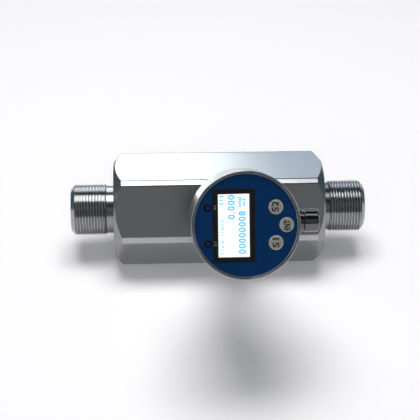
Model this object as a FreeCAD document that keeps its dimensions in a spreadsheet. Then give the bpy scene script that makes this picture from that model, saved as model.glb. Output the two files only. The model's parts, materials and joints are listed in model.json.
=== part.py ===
"""Turbine flow meter: a hexagonal bar with a male thread at each end, a turbine in its bore,
and a round display head on a stem that stands on one of the bar's flats.

Row frame: +X is the flow direction along the bar, +Z is up, z = 0 is the flat that the bar rests on,
and x = 0, y = 0 is the middle of that flat. The stem and the head are drawn upright about their own Z
axis, with z = 0 on the bar's axis, and are then turned onto the flat that faces forwards and up.
"""
import FreeCAD, Part
import math
import os
from types import SimpleNamespace

import Sketcher
from FreeCAD import Placement, Rotation, Vector

DRIVING = [
    # fits and joints
    ("play", 0.1, "clearance between fitted pieces"),
    ("snug", 0.05, "clearance of a piece that sits closely in another"),
    ("press", 0.02, "clearance of a piece that is pressed into another"),
    ("overlap", 1.0, "how far an added shape starts inside the shape that it joins"),
    ("overcut", 1.0, "how far a cutting shape reaches beyond the surface that it cuts"),
    # the bar
    ("across_flats", 70.0, "width of the bar across its flats"),
    ("corner_cut", 2.43, "leg of the small facet along each corner of the bar"),
    ("bar_length", 146.0, "length of the hexagonal stretch"),
    ("end_face_radius", 33.6, "radius of the turned end faces, where the 45 degree cones start"),
    ("neck_length", 5.4, "undercut between the bar and each thread"),
    ("neck_radius", 16.7, "radius of the undercut"),
    ("thread_length", 24.8, "length of each thread with its lead-in chamfer"),
    ("thread_radius", 18.0, "crest radius of the threads"),
    ("thread_pitch", 2.0, "thread pitch"),
    ("thread_lead", 3.0, "45 degree chamfer at the thread's free end"),
    ("groove_mouth", 0.46, "width of a thread groove at the crest"),
    ("groove_depth", 1.1, "depth of a thread groove"),
    # the bore
    ("seat_radius", 12.0, "bore in which the straightener and the rear support sit"),
    ("throat_radius", 11.5, "bore around the rotor"),
    ("throat_half", 12.5, "half the length of the throat"),
    ("socket_radius", 12.6, "tube socket at each end"),
    ("socket_depth", 14.0, "depth of the tube socket from the end face"),
    ("mouth_radius", 13.95, "radius of the sealing cone at the end face"),
    ("cone_length", 6.35, "length of the sealing cone"),
    ("ring_groove_radius", 12.95, "radius of the retaining ring grooves"),
    ("ring_thickness", 1.2, "thickness of the retaining rings"),
    ("ring_inside", 10.8, "inner radius of the retaining rings"),
    ("ring_arc", 330.0, "how far a retaining ring runs round, in degrees"),
    # the turbine
    ("pickup_offset", 7.8, "how far the rotor and the stem stand downstream of the bar's middle"),
    ("hub_radius", 4.5, "radius of the rotor's hub and of the two support hubs"),
    ("rotor_half", 6.0, "half the length of the rotor's hub"),
    ("blade_half", 5.0, "half the length of a blade along the axis"),
    ("blade_tip", 11.05, "radius at the blade tips"),
    ("blade_thickness", 1.1, "thickness of a blade"),
    ("blade_twist", 34.0, "turn of a blade from its front edge to its rear edge, in degrees"),
    ("blade_count", 6, "number of blades"),
    ("shaft_radius", 1.5, "radius of the rotor's shaft"),
    ("shaft_half", 16.2, "half the length of the shaft"),
    ("shaft_chamfer", 0.4, "chamfer on the shaft's ends"),
    ("running_gap", 0.05, "radial clearance of a running fit"),
    ("hub_gap", 1.0, "gap between the rotor's hub and each support hub"),
    ("bush_radius", 3.0, "outer radius of the bearing bushes"),
    ("bush_length", 7.5, "length of a bearing bush"),
    ("bush_setback", 0.2, "how far a bush stands back from its hub's face"),
    ("bush_room", 2.0, "free length between a bush and its thrust pad"),
    ("pad_thickness", 1.5, "thickness of a thrust pad"),
    ("vane_length", 45.0, "length of the straightener's vanes"),
    ("rear_vane_length", 24.0, "length of the rear support's vanes"),
    ("vane_thickness", 1.0, "thickness of a vane"),
    ("vane_count", 6, "number of vanes on each support"),
    ("hub_overhang", 5.0, "length of a support hub between its vanes and its cone"),
    ("nose_length", 10.0, "length of the cone on each support hub"),
    ("nose_tip", 0.8, "radius at the tip of that cone"),
    # the stem
    ("stem_turn", 60.0, "turn about the bar's axis from upright to the flat that carries the stem"),
    ("well_radius", 6.15, "radius of the pickup's well in the bar"),
    ("well_floor", 13.4, "distance of the well's floor from the bar's axis"),
    ("spigot_radius", 12.0, "radius of the threaded hole that takes the stem"),
    ("spigot_length", 12.0, "depth of that hole"),
    ("spigot_gap", 0.2, "gap between that hole's floor and the stem"),
    ("land_length", 3.0, "length of the stem's recess for its lower O-ring"),
    ("stem_hexagon", 34.0, "width across the flats of the stem's foot"),
    ("foot_height", 8.0, "height of the stem's foot"),
    ("stem_radius", 14.0, "outer radius of the stem"),
    ("stem_bore", 6.35, "bore of the stem"),
    ("neck_start", 81.7, "distance of the swivel neck's shoulder from the bar's axis"),
    ("swivel_radius", 12.0, "radius of the swivel neck"),
    ("swivel_top", 104.5, "distance of the neck's top from the bar's axis"),
    ("clip_seat", 102.3, "start of the groove for the swivel clip"),
    ("clip_width", 1.3, "width of that groove"),
    ("clip_depth", 1.0, "depth of that groove"),
    ("clip_radius", 14.5, "outer radius of the swivel clip"),
    ("clip_arc", 320.0, "how far that clip runs round, in degrees"),
    ("gland_start", 1.0, "distance of the swivel's O-ring groove from the head's rear face"),
    ("gland_width", 2.0, "width of that groove"),
    ("seal_radius", 0.65, "section radius of the stem's two O-rings"),
    # the pickup
    ("pickup_radius", 6.0, "outer radius of the pickup's shell"),
    ("pickup_wall", 0.5, "wall of the pickup's shell"),
    ("pickup_foot", 13.6, "distance of the shell's closed end from the bar's axis"),
    ("pickup_top", 78.0, "distance of the shell's open end from the bar's axis"),
    ("pole_radius", 1.6, "radius of the pole piece"),
    ("coil_start", 16.0, "start of the bobbin"),
    ("coil_end", 40.0, "end of the bobbin"),
    ("bobbin_wall", 0.9, "thickness of the bobbin's cheeks and tube"),
    ("magnet_radius", 4.0, "radius of the magnet"),
    ("magnet_length", 16.0, "length of the magnet"),
    ("pole_end", 46.0, "end of the pole piece, where the magnet starts"),
    ("winding_drop", 0.3, "how far the winding stays below the bobbin's cheeks"),
    ("potting_drop", 1.0, "how far the potting stays below the shell's open end"),
    ("lock_gap", 1.5, "gap between the lead and the ring that locks the pickup"),
    ("lock_height", 4.0, "thickness of that ring"),
    ("lead_radius", 1.2, "radius of the pickup's lead"),
    ("lead_end", 106.0, "end of the pickup's lead"),
    ("lead_bend", 9.0, "bend radius of the connector's lead"),
    ("lead_exit", 3.0, "straight stretch of that lead behind the connector"),
    # the head
    ("head_radius", 32.2, "outer radius of the head"),
    ("head_rear", 92.0, "distance of the head's rear face from the bar's axis"),
    ("head_front", 166.0, "distance of the head's front rim from the bar's axis"),
    ("head_wall", 2.2, "wall of the housing"),
    ("rear_radius", 29.6, "outer radius of the housing's tapered rear"),
    ("taper_end", 118.0, "distance from the bar's axis where that taper ends"),
    ("back_wall", 4.0, "thickness of the housing's back"),
    ("collar_radius", 16.0, "outer radius of the collar around the swivel neck"),
    ("collar_start", 82.0, "distance of the collar's rear face from the bar's axis"),
    ("collar_end", 102.0, "inner end of the collar"),
    ("rear_edge", 1.4, "chamfer on the housing's rear edge"),
    ("front_edge", 0.7, "chamfer on the housing's front rim"),
    ("recess_radius", 31.2, "radius of the recess that takes the bezel"),
    ("recess_depth", 6.0, "depth of that recess"),
    ("gasket_height", 1.0, "thickness of the face gasket"),
    ("set_screw_height", 5.0, "distance of the set screw from the collar's rear face"),
    ("set_screw_hole", 2.0, "radius of the set screw's hole"),
    ("set_screw_radius", 1.95, "radius of the set screw"),
    ("set_screw_tip", 1.0, "radius of the set screw's flat point"),
    ("set_screw_length", 3.2, "length of the set screw"),
    ("set_screw_gap", 0.3, "gap between the set screw and the swivel neck"),
    # the face
    ("bezel_inside", 30.15, "inner radius of the bezel's lip"),
    ("bezel_proud", 0.3, "how far the bezel's lip stands behind the rim"),
    ("lip_height", 0.9, "thickness of the bezel's lip"),
    ("face_radius", 30.6, "radius of the face plate"),
    ("face_thickness", 1.6, "thickness of the face plate"),
    ("carrier_thickness", 2.2, "thickness of the carrier behind the face plate"),
    ("carrier_reach", 1.5, "how far the carrier reaches under the display's frame"),
    ("frame_centre", -7.2, "where the display's middle lies from the head's axis"),
    ("frame_width", 24.7, "width of the display's black frame, along the bar"),
    ("frame_height", 42.8, "height of the display's black frame"),
    ("glass_width", 19.0, "width of the display's opening"),
    ("glass_height", 37.8, "height of the display's opening"),
    ("frame_proud", 0.25, "how far the frame stands proud of the face plate"),
    ("glass_thickness", 0.8, "thickness of the display's window"),
    ("panel_thickness", 2.6, "thickness of the display module"),
    ("panel_side", 1.0, "how far the display module reaches beyond the opening, along the bar"),
    ("panel_end", 0.8, "how far the display module reaches beyond the opening's ends"),
    ("lamp_offset", -22.5, "where the two lamps lie from the head's axis, along the bar"),
    ("lamp_spread", 10.6, "how far each lamp lies above or below the head's axis"),
    ("lamp_ring", 2.45, "outer radius of a lamp's ring"),
    ("lamp_lens", 1.35, "radius of a lamp's lens"),
    ("lamp_proud", 0.2, "how far a lamp's ring stands proud of the face plate"),
    ("key_offset", 17.6, "where the two outer keys lie from the head's axis, along the bar"),
    ("key_spread", 10.5, "how far each outer key lies above or below the head's axis"),
    ("enter_offset", 23.9, "where the middle key lies from the head's axis"),
    ("key_radius", 4.4, "radius of a key"),
    ("key_gap", 0.25, "gap around a key"),
    ("key_proud", 0.6, "how far a key stands proud of the face plate"),
    ("key_flange", 0.9, "how much wider a key's flange is than the key"),
    ("key_flange_height", 0.5, "thickness of a key's flange"),
    ("key_setback", 0.2, "gap between a key's flange and the face plate"),
    ("key_travel", 0.35, "how far a key moves when it is pressed"),
    ("switch_size", 6.0, "side of a tactile switch"),
    ("switch_height", 3.4, "height of a tactile switch"),
    ("knob_radius", 1.7, "radius of a tactile switch's knob"),
    # the boards
    ("board_radius", 29.4, "radius of the display board"),
    ("board_thickness", 1.6, "thickness of both boards"),
    ("board_drop", 6.0, "distance from the face plate's underside to the display board's top"),
    ("main_board_height", 118.0, "distance of the main board from the bar's axis"),
    ("main_board_side", 40.0, "side of the main board"),
    ("post_reach", 17.0, "distance of each post from the head's axis, along and across"),
    ("post_radius", 2.2, "radius of a post"),
    ("screw_radius", 1.25, "radius of a board screw"),
    ("screw_head", 2.4, "radius of a board screw's head"),
    ("screw_cap", 1.2, "thickness of a board screw's head"),
    ("thread_bite", 5.0, "how deep a screw or a stud goes into a post"),
    ("strip_width", 2.4, "width of the contact strips under the display module"),
    ("strip_length", 14.0, "length of those strips"),
    ("socket_width", 9.0, "width of the socket for the pickup's lead"),
    ("socket_side", 6.0, "side of that socket"),
    ("socket_gap", 0.4, "gap between that lead's end and the socket"),
    # the connector
    ("plug_height", 133.0, "distance of the connector's axis from the bar's axis"),
    ("boss_radius", 8.0, "radius of the flat boss under the connector"),
    ("boss_start", 30.6, "inner end of the boss, within the housing's wall"),
    ("boss_face", 32.7, "distance of the boss's face from the head's axis"),
    ("plug_hole", 6.1, "radius of the hole for the connector"),
    ("plug_gasket", 0.7, "thickness of the connector's gasket"),
    ("flange_radius", 7.3, "radius of the connector's flange"),
    ("flange_end", 36.6, "distance of the flange's outer face from the head's axis"),
    ("shell_radius", 7.1, "outer radius of the connector's shell"),
    ("shell_end", 46.8, "distance of the shell's end from the head's axis"),
    ("shell_wall", 1.6, "wall of the connector's shell"),
    ("shell_edge", 0.8, "chamfer on the shell's free end"),
    ("socket_floor", 38.2, "distance of the connector's floor from the head's axis"),
    ("insert_cap", 1.2, "thickness of the insert's front disc"),
    ("tail_start", 21.0, "inner end of the connector's threaded tail"),
    ("tail_radius", 6.0, "radius of that tail"),
    ("tail_bore", 4.2, "bore of that tail"),
    ("nut_flats", 15.0, "width across the flats of the connector's nut"),
    ("nut_start", 24.6, "inner face of the connector's nut"),
    ("nut_height", 4.0, "thickness of the connector's nut"),
    ("pin_radius", 0.5, "radius of a connector pin"),
    ("pin_circle", 2.5, "radius of the circle that the outer pins stand on"),
    ("pin_end", 45.2, "distance of the pins' ends from the head's axis"),
]

doc = FreeCAD.newDocument("turbine_flow_meter")
sheet = doc.addObject("Spreadsheet::Sheet", "sizes")
pieces = []


class Size:
    """A number together with the sheet expression that gives it."""

    def __init__(self, value, text):
        self.value = value
        self.text = text

    def __add__(self, other):
        other = as_size(other)
        return Size(self.value + other.value, f"({self.text} + {other.text})")

    def __sub__(self, other):
        other = as_size(other)
        return Size(self.value - other.value, f"({self.text} - {other.text})")

    def __mul__(self, other):
        other = as_size(other)
        return Size(self.value * other.value, f"({self.text} * {other.text})")

    def __truediv__(self, other):
        other = as_size(other)
        return Size(self.value / other.value, f"({self.text} / {other.text})")

    def __neg__(self):
        return as_size(0) - self

    def __radd__(self, other):
        return as_size(other) + self

    def __rsub__(self, other):
        return as_size(other) - self

    def __rmul__(self, other):
        return as_size(other) * self


def as_size(number):
    return number if isinstance(number, Size) else Size(float(number), f"{float(number):.10g}")


def fill_sheet():
    """Write one row per driving dimension and return them as named sizes."""
    names = {}
    for row, (alias, value, meaning) in enumerate(DRIVING, start=1):
        sheet.set(f"A{row}", meaning)
        sheet.set(f"B{row}", str(value))
        sheet.setAlias(f"B{row}", alias)
        names[alias] = Size(float(value), f"sizes.{alias}")
    return SimpleNamespace(**names)


mm = fill_sheet()
doc.recompute()
ROOT3 = Size(math.sqrt(3), "sqrt(3)")

axis_height = mm.across_flats / 2
bar_half = mm.bar_length / 2
end_half = bar_half + mm.neck_length + mm.thread_length
face_top = mm.head_front - mm.bezel_proud - mm.lip_height
face_under = face_top - mm.face_thickness
carrier_under = face_under - mm.carrier_thickness
board_top = face_under - mm.board_drop
board_under = board_top - mm.board_thickness
key_rest = face_under - mm.key_setback


def bind(thing, path, size):
    thing.setExpression(path, as_size(size).text)


def put_on_axis(thing):
    """Place a piece that is drawn about X on the bar's axis."""
    bind(thing, "Placement.Base.z", axis_height)


def put_on_stem(thing):
    """Turn a piece that is drawn upright onto the flat that carries the stem."""
    thing.Placement = Placement(Vector(0, 0, 0), Rotation(Vector(1, 0, 0), mm.stem_turn.value))
    bind(thing, "Placement.Rotation.Angle", mm.stem_turn)
    bind(thing, "Placement.Base.x", mm.pickup_offset)
    bind(thing, "Placement.Base.z", axis_height)


def new_body(label, put):
    body = doc.addObject("PartDesign::Body", label)
    body.Label = label
    put(body)
    pieces.append(body)
    return body


def origin_part(body, role):
    return next(feature for feature in body.Origin.OriginFeatures if feature.Role == role)


def new_sketch(body, role, shift_y=0, lift=0, turn=0):
    """A sketch on one of the body's own planes, moved within it, lifted off it or turned on it."""
    sketch = body.newObject("Sketcher::SketchObject", f"{body.Label}_sketch")
    sketch.AttachmentSupport = [(origin_part(body, role), "")]
    sketch.MapMode = "FlatFace"
    turn = as_size(turn)
    turned = Rotation(Vector(0, 0, 1), turn.value)
    sketch.AttachmentOffset = Placement(Vector(0, as_size(shift_y).value, as_size(lift).value), turned)
    bind(sketch, "AttachmentOffset.Base.y", shift_y)
    bind(sketch, "AttachmentOffset.Base.z", lift)
    if turn.value:
        bind(sketch, "AttachmentOffset.Rotation.Angle", turn)
    return sketch


def pin_point(sketch, edge, end, x, y):
    """Hold one point of the sketch at its two sizes."""
    for kind, axis, size in (("DistanceX", -2, as_size(x)), ("DistanceY", -1, as_size(y))):
        if size.value == 0:
            sketch.addConstraint(Sketcher.Constraint("PointOnObject", edge, end, axis))
            continue
        index = sketch.addConstraint(Sketcher.Constraint(kind, -1, 1, edge, end, size.value))
        bind(sketch, f"Constraints[{index}]", size)


def draw_outline(sketch, corners):
    """A closed run of straight lines whose corners are all held at named sizes."""
    first = sketch.GeometryCount
    spots = [Vector(as_size(x).value, as_size(y).value, 0) for x, y in corners]
    count = len(spots)
    for index, spot in enumerate(spots):
        sketch.addGeometry(Part.LineSegment(spot, spots[(index + 1) % count]))
    for index in range(count):
        following = first + (index + 1) % count
        sketch.addConstraint(Sketcher.Constraint("Coincident", first + index, 2, following, 1))
    for index, (x, y) in enumerate(corners):
        pin_point(sketch, first + index, 1, x, y)


def draw_circle(sketch, x, y, radius):
    radius = as_size(radius)
    middle = Vector(as_size(x).value, as_size(y).value, 0)
    edge = sketch.addGeometry(Part.Circle(middle, Vector(0, 0, 1), radius.value))
    pin_point(sketch, edge, 3, x, y)
    index = sketch.addConstraint(Sketcher.Constraint("Radius", edge, radius.value))
    bind(sketch, f"Constraints[{index}]", radius)


def box_corners(x, y, width, height):
    """Corners of a rectangle around a middle point."""
    left, right = as_size(x) - width / 2, as_size(x) + width / 2
    low, high = as_size(y) - height / 2, as_size(y) + height / 2
    return [(left, low), (right, low), (right, high), (left, high)]


def hexagon_corners(across):
    """Corners of a hexagon with two of its flats level."""
    side = across / ROOT3
    half = across / 2
    right = [(side / 2, -half), (side, 0), (side / 2, half)]
    left = [(-(side / 2), half), (-side, 0), (-(side / 2), -half)]
    return right + left


def pad(body, sketch, length):
    feature = body.newObject("PartDesign::Pad", f"{body.Label}_pad")
    feature.Profile = sketch
    bind(feature, "Length", length)
    return feature


def turn_profile(body, sketch, axis, cut=False, degrees=360):
    """Revolve a sketch about an axis of the body or of the sketch, to add or to cut."""
    kind = "PartDesign::Groove" if cut else "PartDesign::Revolution"
    feature = body.newObject(kind, f"{body.Label}_turned")
    feature.Profile = sketch
    feature.ReferenceAxis = (sketch, [axis])
    bind(feature, "Angle", degrees)
    return feature


def along_pipe(label, corners, degrees=360):
    """A piece turned about the bar's axis from (distance along X, radius) corners."""
    body = new_body(label, put_on_axis)
    sketch = new_sketch(body, "XZ_Plane")
    draw_outline(sketch, corners)
    turn_profile(body, sketch, "H_Axis", degrees=degrees)
    return body


def along_stem(label, corners, degrees=360):
    """A piece turned about the stem's axis from (radius, distance from the bar's axis) corners."""
    body = new_body(label, put_on_stem)
    sketch = new_sketch(body, "XZ_Plane")
    draw_outline(sketch, corners)
    turn_profile(body, sketch, "V_Axis", degrees=degrees)
    return body


def along_plug(label, corners):
    """A piece turned about the connector's axis from (distance from the head's axis, radius) corners."""
    body = new_body(label, put_on_stem)
    sketch = new_sketch(body, "XZ_Plane", shift_y=mm.plug_height)
    draw_outline(sketch, corners)
    turn_profile(body, sketch, "H_Axis")
    return body


def tube_section(inside, outside, low, high):
    """Corners of a plain ring about the stem's axis."""
    return [(inside, low), (outside, low), (outside, high), (inside, high)]


def ring_section(low, high, inside, outside):
    """Corners of a plain ring about the bar's axis or the connector's axis."""
    return [(low, inside), (high, inside), (high, outside), (low, outside)]


def o_ring(label, middle, height):
    """A round-section ring about the stem's axis."""
    body = new_body(label, put_on_stem)
    sketch = new_sketch(body, "XZ_Plane")
    draw_circle(sketch, middle, height, mm.seal_radius)
    turn_profile(body, sketch, "V_Axis")
    return body


def plate(label, low, thickness, draw):
    """A flat piece of the head: draw adds the outer outline and the openings to its sketch."""
    body = new_body(label, put_on_stem)
    sketch = new_sketch(body, "XY_Plane", lift=low)
    draw(sketch)
    pad(body, sketch, thickness)
    return body


def group(label, members):
    """Like pieces that share one node as separate solids."""
    bundle = doc.addObject("Part::Compound", label)
    bundle.Links = members
    put_on_stem(bundle)
    pieces.append(bundle)
    return bundle


def cylinder_at(name, x, y, low, radius, length):
    """An upright cylinder of the head, for a group."""
    post = doc.addObject("Part::Cylinder", name)
    bind(post, "Radius", radius)
    bind(post, "Height", length)
    bind(post, "Placement.Base.x", x)
    bind(post, "Placement.Base.y", y)
    bind(post, "Placement.Base.z", low)
    return post


def joined(kind, name, base, tool):
    """Two shapes of a group added together or cut, one from the other."""
    whole = doc.addObject(kind, name)
    whole.Base = base
    whole.Tool = tool
    return whole


def thread_corners(side):
    """Outer profile of one threaded end, from the bar to the free end, with its ring grooves."""
    start = bar_half + mm.neck_length
    step = mm.thread_radius - mm.neck_radius
    corners = [(side * bar_half, mm.neck_radius), (side * start, mm.neck_radius)]
    corners.append((side * (start + step / 2), mm.thread_radius))
    run = mm.thread_length.value - mm.thread_lead.value
    count = int(run / mm.thread_pitch.value)
    for turn in range(1, count + 1):
        middle = start + mm.thread_pitch * turn
        corners.append((side * (middle - mm.groove_mouth / 2), mm.thread_radius))
        corners.append((side * middle, mm.thread_radius - mm.groove_depth))
        corners.append((side * (middle + mm.groove_mouth / 2), mm.thread_radius))
    corners.append((side * (end_half - mm.thread_lead), mm.thread_radius))
    corners.append((side * end_half, mm.thread_radius - mm.thread_lead))
    return corners


def bore_corners():
    """Profile of the bore from the inlet's end face to the outlet's."""
    throat_in = mm.pickup_offset - mm.throat_half
    throat_out = mm.pickup_offset + mm.throat_half
    socket = end_half - mm.socket_depth
    inlet_ring = throat_in - mm.vane_length - mm.ring_thickness
    outlet_ring = throat_out + mm.rear_vane_length
    corners = [(-end_half, 0), (-end_half, mm.mouth_radius)]
    corners.append((mm.cone_length - end_half, mm.socket_radius))
    corners += [(-socket, mm.socket_radius), (-socket, mm.seat_radius)]
    for low, high in ((inlet_ring, inlet_ring + mm.ring_thickness), (throat_in, throat_out),
                      (outlet_ring, outlet_ring + mm.ring_thickness)):
        radius = mm.throat_radius if low is throat_in else mm.ring_groove_radius
        corners += [(low, mm.seat_radius), (low, radius), (high, radius), (high, mm.seat_radius)]
    corners += [(socket, mm.seat_radius), (socket, mm.socket_radius)]
    corners.append((end_half - mm.cone_length, mm.socket_radius))
    corners += [(end_half, mm.mouth_radius), (end_half, 0)]
    return corners


def make_meter_body():
    """The bar: hexagon, small corner facets, turned ends, threads, bore and the well for the pickup."""
    body = new_body("meter_body", put_on_axis)
    sketch = new_sketch(body, "YZ_Plane", lift=-bar_half)
    draw_outline(sketch, hexagon_corners(mm.across_flats))
    bar = pad(body, sketch, mm.bar_length)
    doc.recompute()

    facets = body.newObject("PartDesign::Chamfer", "corner_facets")
    corners = []
    for index, edge in enumerate(bar.Shape.Edges, start=1):
        ends = [vertex.Point for vertex in edge.Vertexes]
        if abs(ends[0].x - ends[1].x) > bar_half.value:
            corners.append(f"Edge{index}")
    facets.Base = (bar, corners)
    bind(facets, "Size", mm.corner_cut)
    body.Tip = facets

    for side in (-1, 1):
        beyond = mm.across_flats - mm.end_face_radius
        cone = new_sketch(body, "XZ_Plane")
        draw_outline(cone, [
            (side * bar_half, mm.end_face_radius),
            (side * bar_half, mm.across_flats),
            (side * (bar_half - beyond), mm.across_flats),
        ])
        turn_profile(body, cone, "H_Axis", cut=True)

        ends = new_sketch(body, "XZ_Plane")
        inner = side * (bar_half - mm.neck_length)
        outline = [(inner, 0), (inner, mm.neck_radius)] + thread_corners(side)[1:] + [(side * end_half, 0)]
        draw_outline(ends, outline)
        turn_profile(body, ends, "H_Axis")

    bore = new_sketch(body, "XZ_Plane")
    draw_outline(bore, bore_corners())
    turn_profile(body, bore, "H_Axis", cut=True)

    well = doc.addObject("PartDesign::Body", "pickup_well")
    well.Label = "pickup_well"
    put_on_stem(well)
    profile = new_sketch(well, "XZ_Plane")
    flat = mm.across_flats / 2
    draw_outline(profile, [
        (0, mm.well_floor),
        (mm.well_radius, mm.well_floor),
        (mm.well_radius, flat - mm.spigot_length),
        (mm.spigot_radius, flat - mm.spigot_length),
        (mm.spigot_radius, flat + mm.overcut),
        (0, flat + mm.overcut),
    ])
    turn_profile(well, profile, "V_Axis")

    pieces.remove(body)
    body.Label = "meter_bar"
    drilled = doc.addObject("Part::Cut", "meter_body")
    drilled.Base = body
    drilled.Tool = well
    drilled.Label = "meter_body"
    pieces.append(drilled)


def add_round_copies(body, feature, count):
    """Repeat a feature around the bar's axis."""
    pattern = body.newObject("PartDesign::PolarPattern", f"{body.Label}_around")
    pattern.Originals = [feature]
    pattern.Axis = (origin_part(body, "X_Axis"), [""])
    pattern.Angle = 360
    pattern.Occurrences = int(count.value)
    body.Tip = pattern


def make_support(label, side, vane_run):
    """A hub on radial vanes, bored for a bush and a thrust pad, with a cone on its outer end."""
    near = mm.rotor_half + mm.hub_gap
    pocket = mm.bush_length + mm.pad_thickness + mm.bush_room
    cone = mm.throat_half + vane_run + mm.hub_overhang
    spots = [
        (near, mm.bush_radius),
        (near, mm.hub_radius),
        (cone, mm.hub_radius),
        (cone + mm.nose_length, mm.nose_tip),
        (cone + mm.nose_length, 0),
        (near + pocket, 0),
        (near + pocket, mm.bush_radius),
    ]
    body = along_pipe(label, [(mm.pickup_offset + side * along, radius) for along, radius in spots])
    start = mm.pickup_offset + side * mm.throat_half
    vane = new_sketch(body, "YZ_Plane", lift=start if side > 0 else start - vane_run)
    reach = mm.seat_radius - mm.play
    root = mm.hub_radius - mm.overlap
    draw_outline(vane, box_corners(0, (reach + root) / 2, mm.vane_thickness, reach - root))
    add_round_copies(body, pad(body, vane, vane_run), mm.vane_count)


def make_flow_path():
    """Straightener, rear support, retaining rings, bushes and thrust pads on the bar's axis."""
    make_support("inlet_straightener", -1, mm.vane_length)
    make_support("outlet_support", 1, mm.rear_vane_length)
    inlet_ring = mm.pickup_offset - mm.throat_half - mm.vane_length - mm.ring_thickness
    outlet_ring = mm.pickup_offset + mm.throat_half + mm.rear_vane_length
    outer = mm.ring_groove_radius - mm.play
    for label, low in (("inlet_retaining_ring", inlet_ring), ("outlet_retaining_ring", outlet_ring)):
        high = low + mm.ring_thickness
        section = ring_section(low + mm.snug, high - mm.snug, mm.ring_inside, outer)
        along_pipe(label, section, degrees=mm.ring_arc)
    for end, side in (("front", -1), ("rear", 1)):
        face = mm.rotor_half + mm.hub_gap
        near = face + mm.bush_setback
        far = near + mm.bush_length
        pad_end = face + mm.bush_length + mm.pad_thickness + mm.bush_room
        outer = mm.bush_radius - mm.press
        inner = mm.shaft_radius + mm.running_gap
        spots = [(near, inner), (far, inner), (far, outer), (near, outer)]
        along_pipe(f"{end}_bearing_bush", [(mm.pickup_offset + side * x, radius) for x, radius in spots])
        thin = pad_end - mm.pad_thickness
        spots = [(thin, 0), (pad_end, 0), (pad_end, outer), (thin, outer)]
        along_pipe(f"{end}_thrust_pad", [(mm.pickup_offset + side * x, radius) for x, radius in spots])


def make_rotor():
    """The turbine: a hub with twisted blades, pressed on a shaft."""
    low = mm.pickup_offset - mm.rotor_half
    high = mm.pickup_offset + mm.rotor_half
    rotor = along_pipe("turbine_rotor", ring_section(low, high, mm.shaft_radius, mm.hub_radius))
    root = mm.hub_radius - mm.overlap
    middle = (mm.blade_tip + root) / 2
    width = mm.blade_tip - root
    sections = []
    for side in (-1, 1):
        along = mm.pickup_offset + side * mm.blade_half
        edge = new_sketch(rotor, "YZ_Plane", lift=along, turn=side * mm.blade_twist / 2)
        draw_outline(edge, box_corners(0, middle, mm.blade_thickness, width))
        sections.append(edge)
    blade = rotor.newObject("PartDesign::AdditiveLoft", "blade")
    blade.Profile = sections[0]
    blade.Sections = [sections[1]]
    blade.Ruled = True
    add_round_copies(rotor, blade, mm.blade_count)

    first = mm.pickup_offset - mm.shaft_half
    last = mm.pickup_offset + mm.shaft_half
    tip = mm.shaft_radius - mm.shaft_chamfer
    along_pipe("rotor_shaft", [
        (first, 0), (first, tip), (first + mm.shaft_chamfer, mm.shaft_radius),
        (last - mm.shaft_chamfer, mm.shaft_radius), (last, tip), (last, 0),
    ])


def make_stem():
    """The stem that carries the head, its two O-rings and the clip that holds the head on it."""
    flat = mm.across_flats / 2
    section = 2 * mm.seal_radius
    end = flat - mm.spigot_length + mm.spigot_gap
    spigot = mm.spigot_radius - mm.snug
    gland = mm.head_rear + mm.gland_start
    body = along_stem("display_stem", [
        (mm.stem_bore, end),
        (spigot, end),
        (spigot, flat - mm.land_length),
        (mm.spigot_radius - section, flat - mm.land_length),
        (mm.spigot_radius - section, flat),
        (mm.stem_radius, flat),
        (mm.stem_radius, mm.neck_start),
        (mm.swivel_radius, mm.neck_start),
        (mm.swivel_radius, gland),
        (mm.swivel_radius - section, gland),
        (mm.swivel_radius - section, gland + mm.gland_width),
        (mm.swivel_radius, gland + mm.gland_width),
        (mm.swivel_radius, mm.clip_seat),
        (mm.swivel_radius - mm.clip_depth, mm.clip_seat),
        (mm.swivel_radius - mm.clip_depth, mm.clip_seat + mm.clip_width),
        (mm.swivel_radius, mm.clip_seat + mm.clip_width),
        (mm.swivel_radius, mm.swivel_top),
        (mm.stem_bore, mm.swivel_top),
    ])
    foot = new_sketch(body, "XY_Plane", lift=flat)
    draw_outline(foot, hexagon_corners(mm.stem_hexagon))
    draw_circle(foot, 0, 0, mm.stem_radius - mm.overlap)
    pad(body, foot, mm.foot_height)

    o_ring("stem_seal", mm.spigot_radius - mm.seal_radius, flat - mm.land_length / 2)
    o_ring("swivel_seal", mm.swivel_radius - mm.seal_radius, gland + mm.gland_width / 2)
    low = mm.clip_seat + mm.play
    high = mm.clip_seat + mm.clip_width - mm.play
    clip_inside = mm.swivel_radius - mm.clip_depth + mm.snug
    clip = tube_section(clip_inside, mm.clip_radius, low, high)
    along_stem("swivel_clip", clip, degrees=mm.clip_arc)


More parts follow.
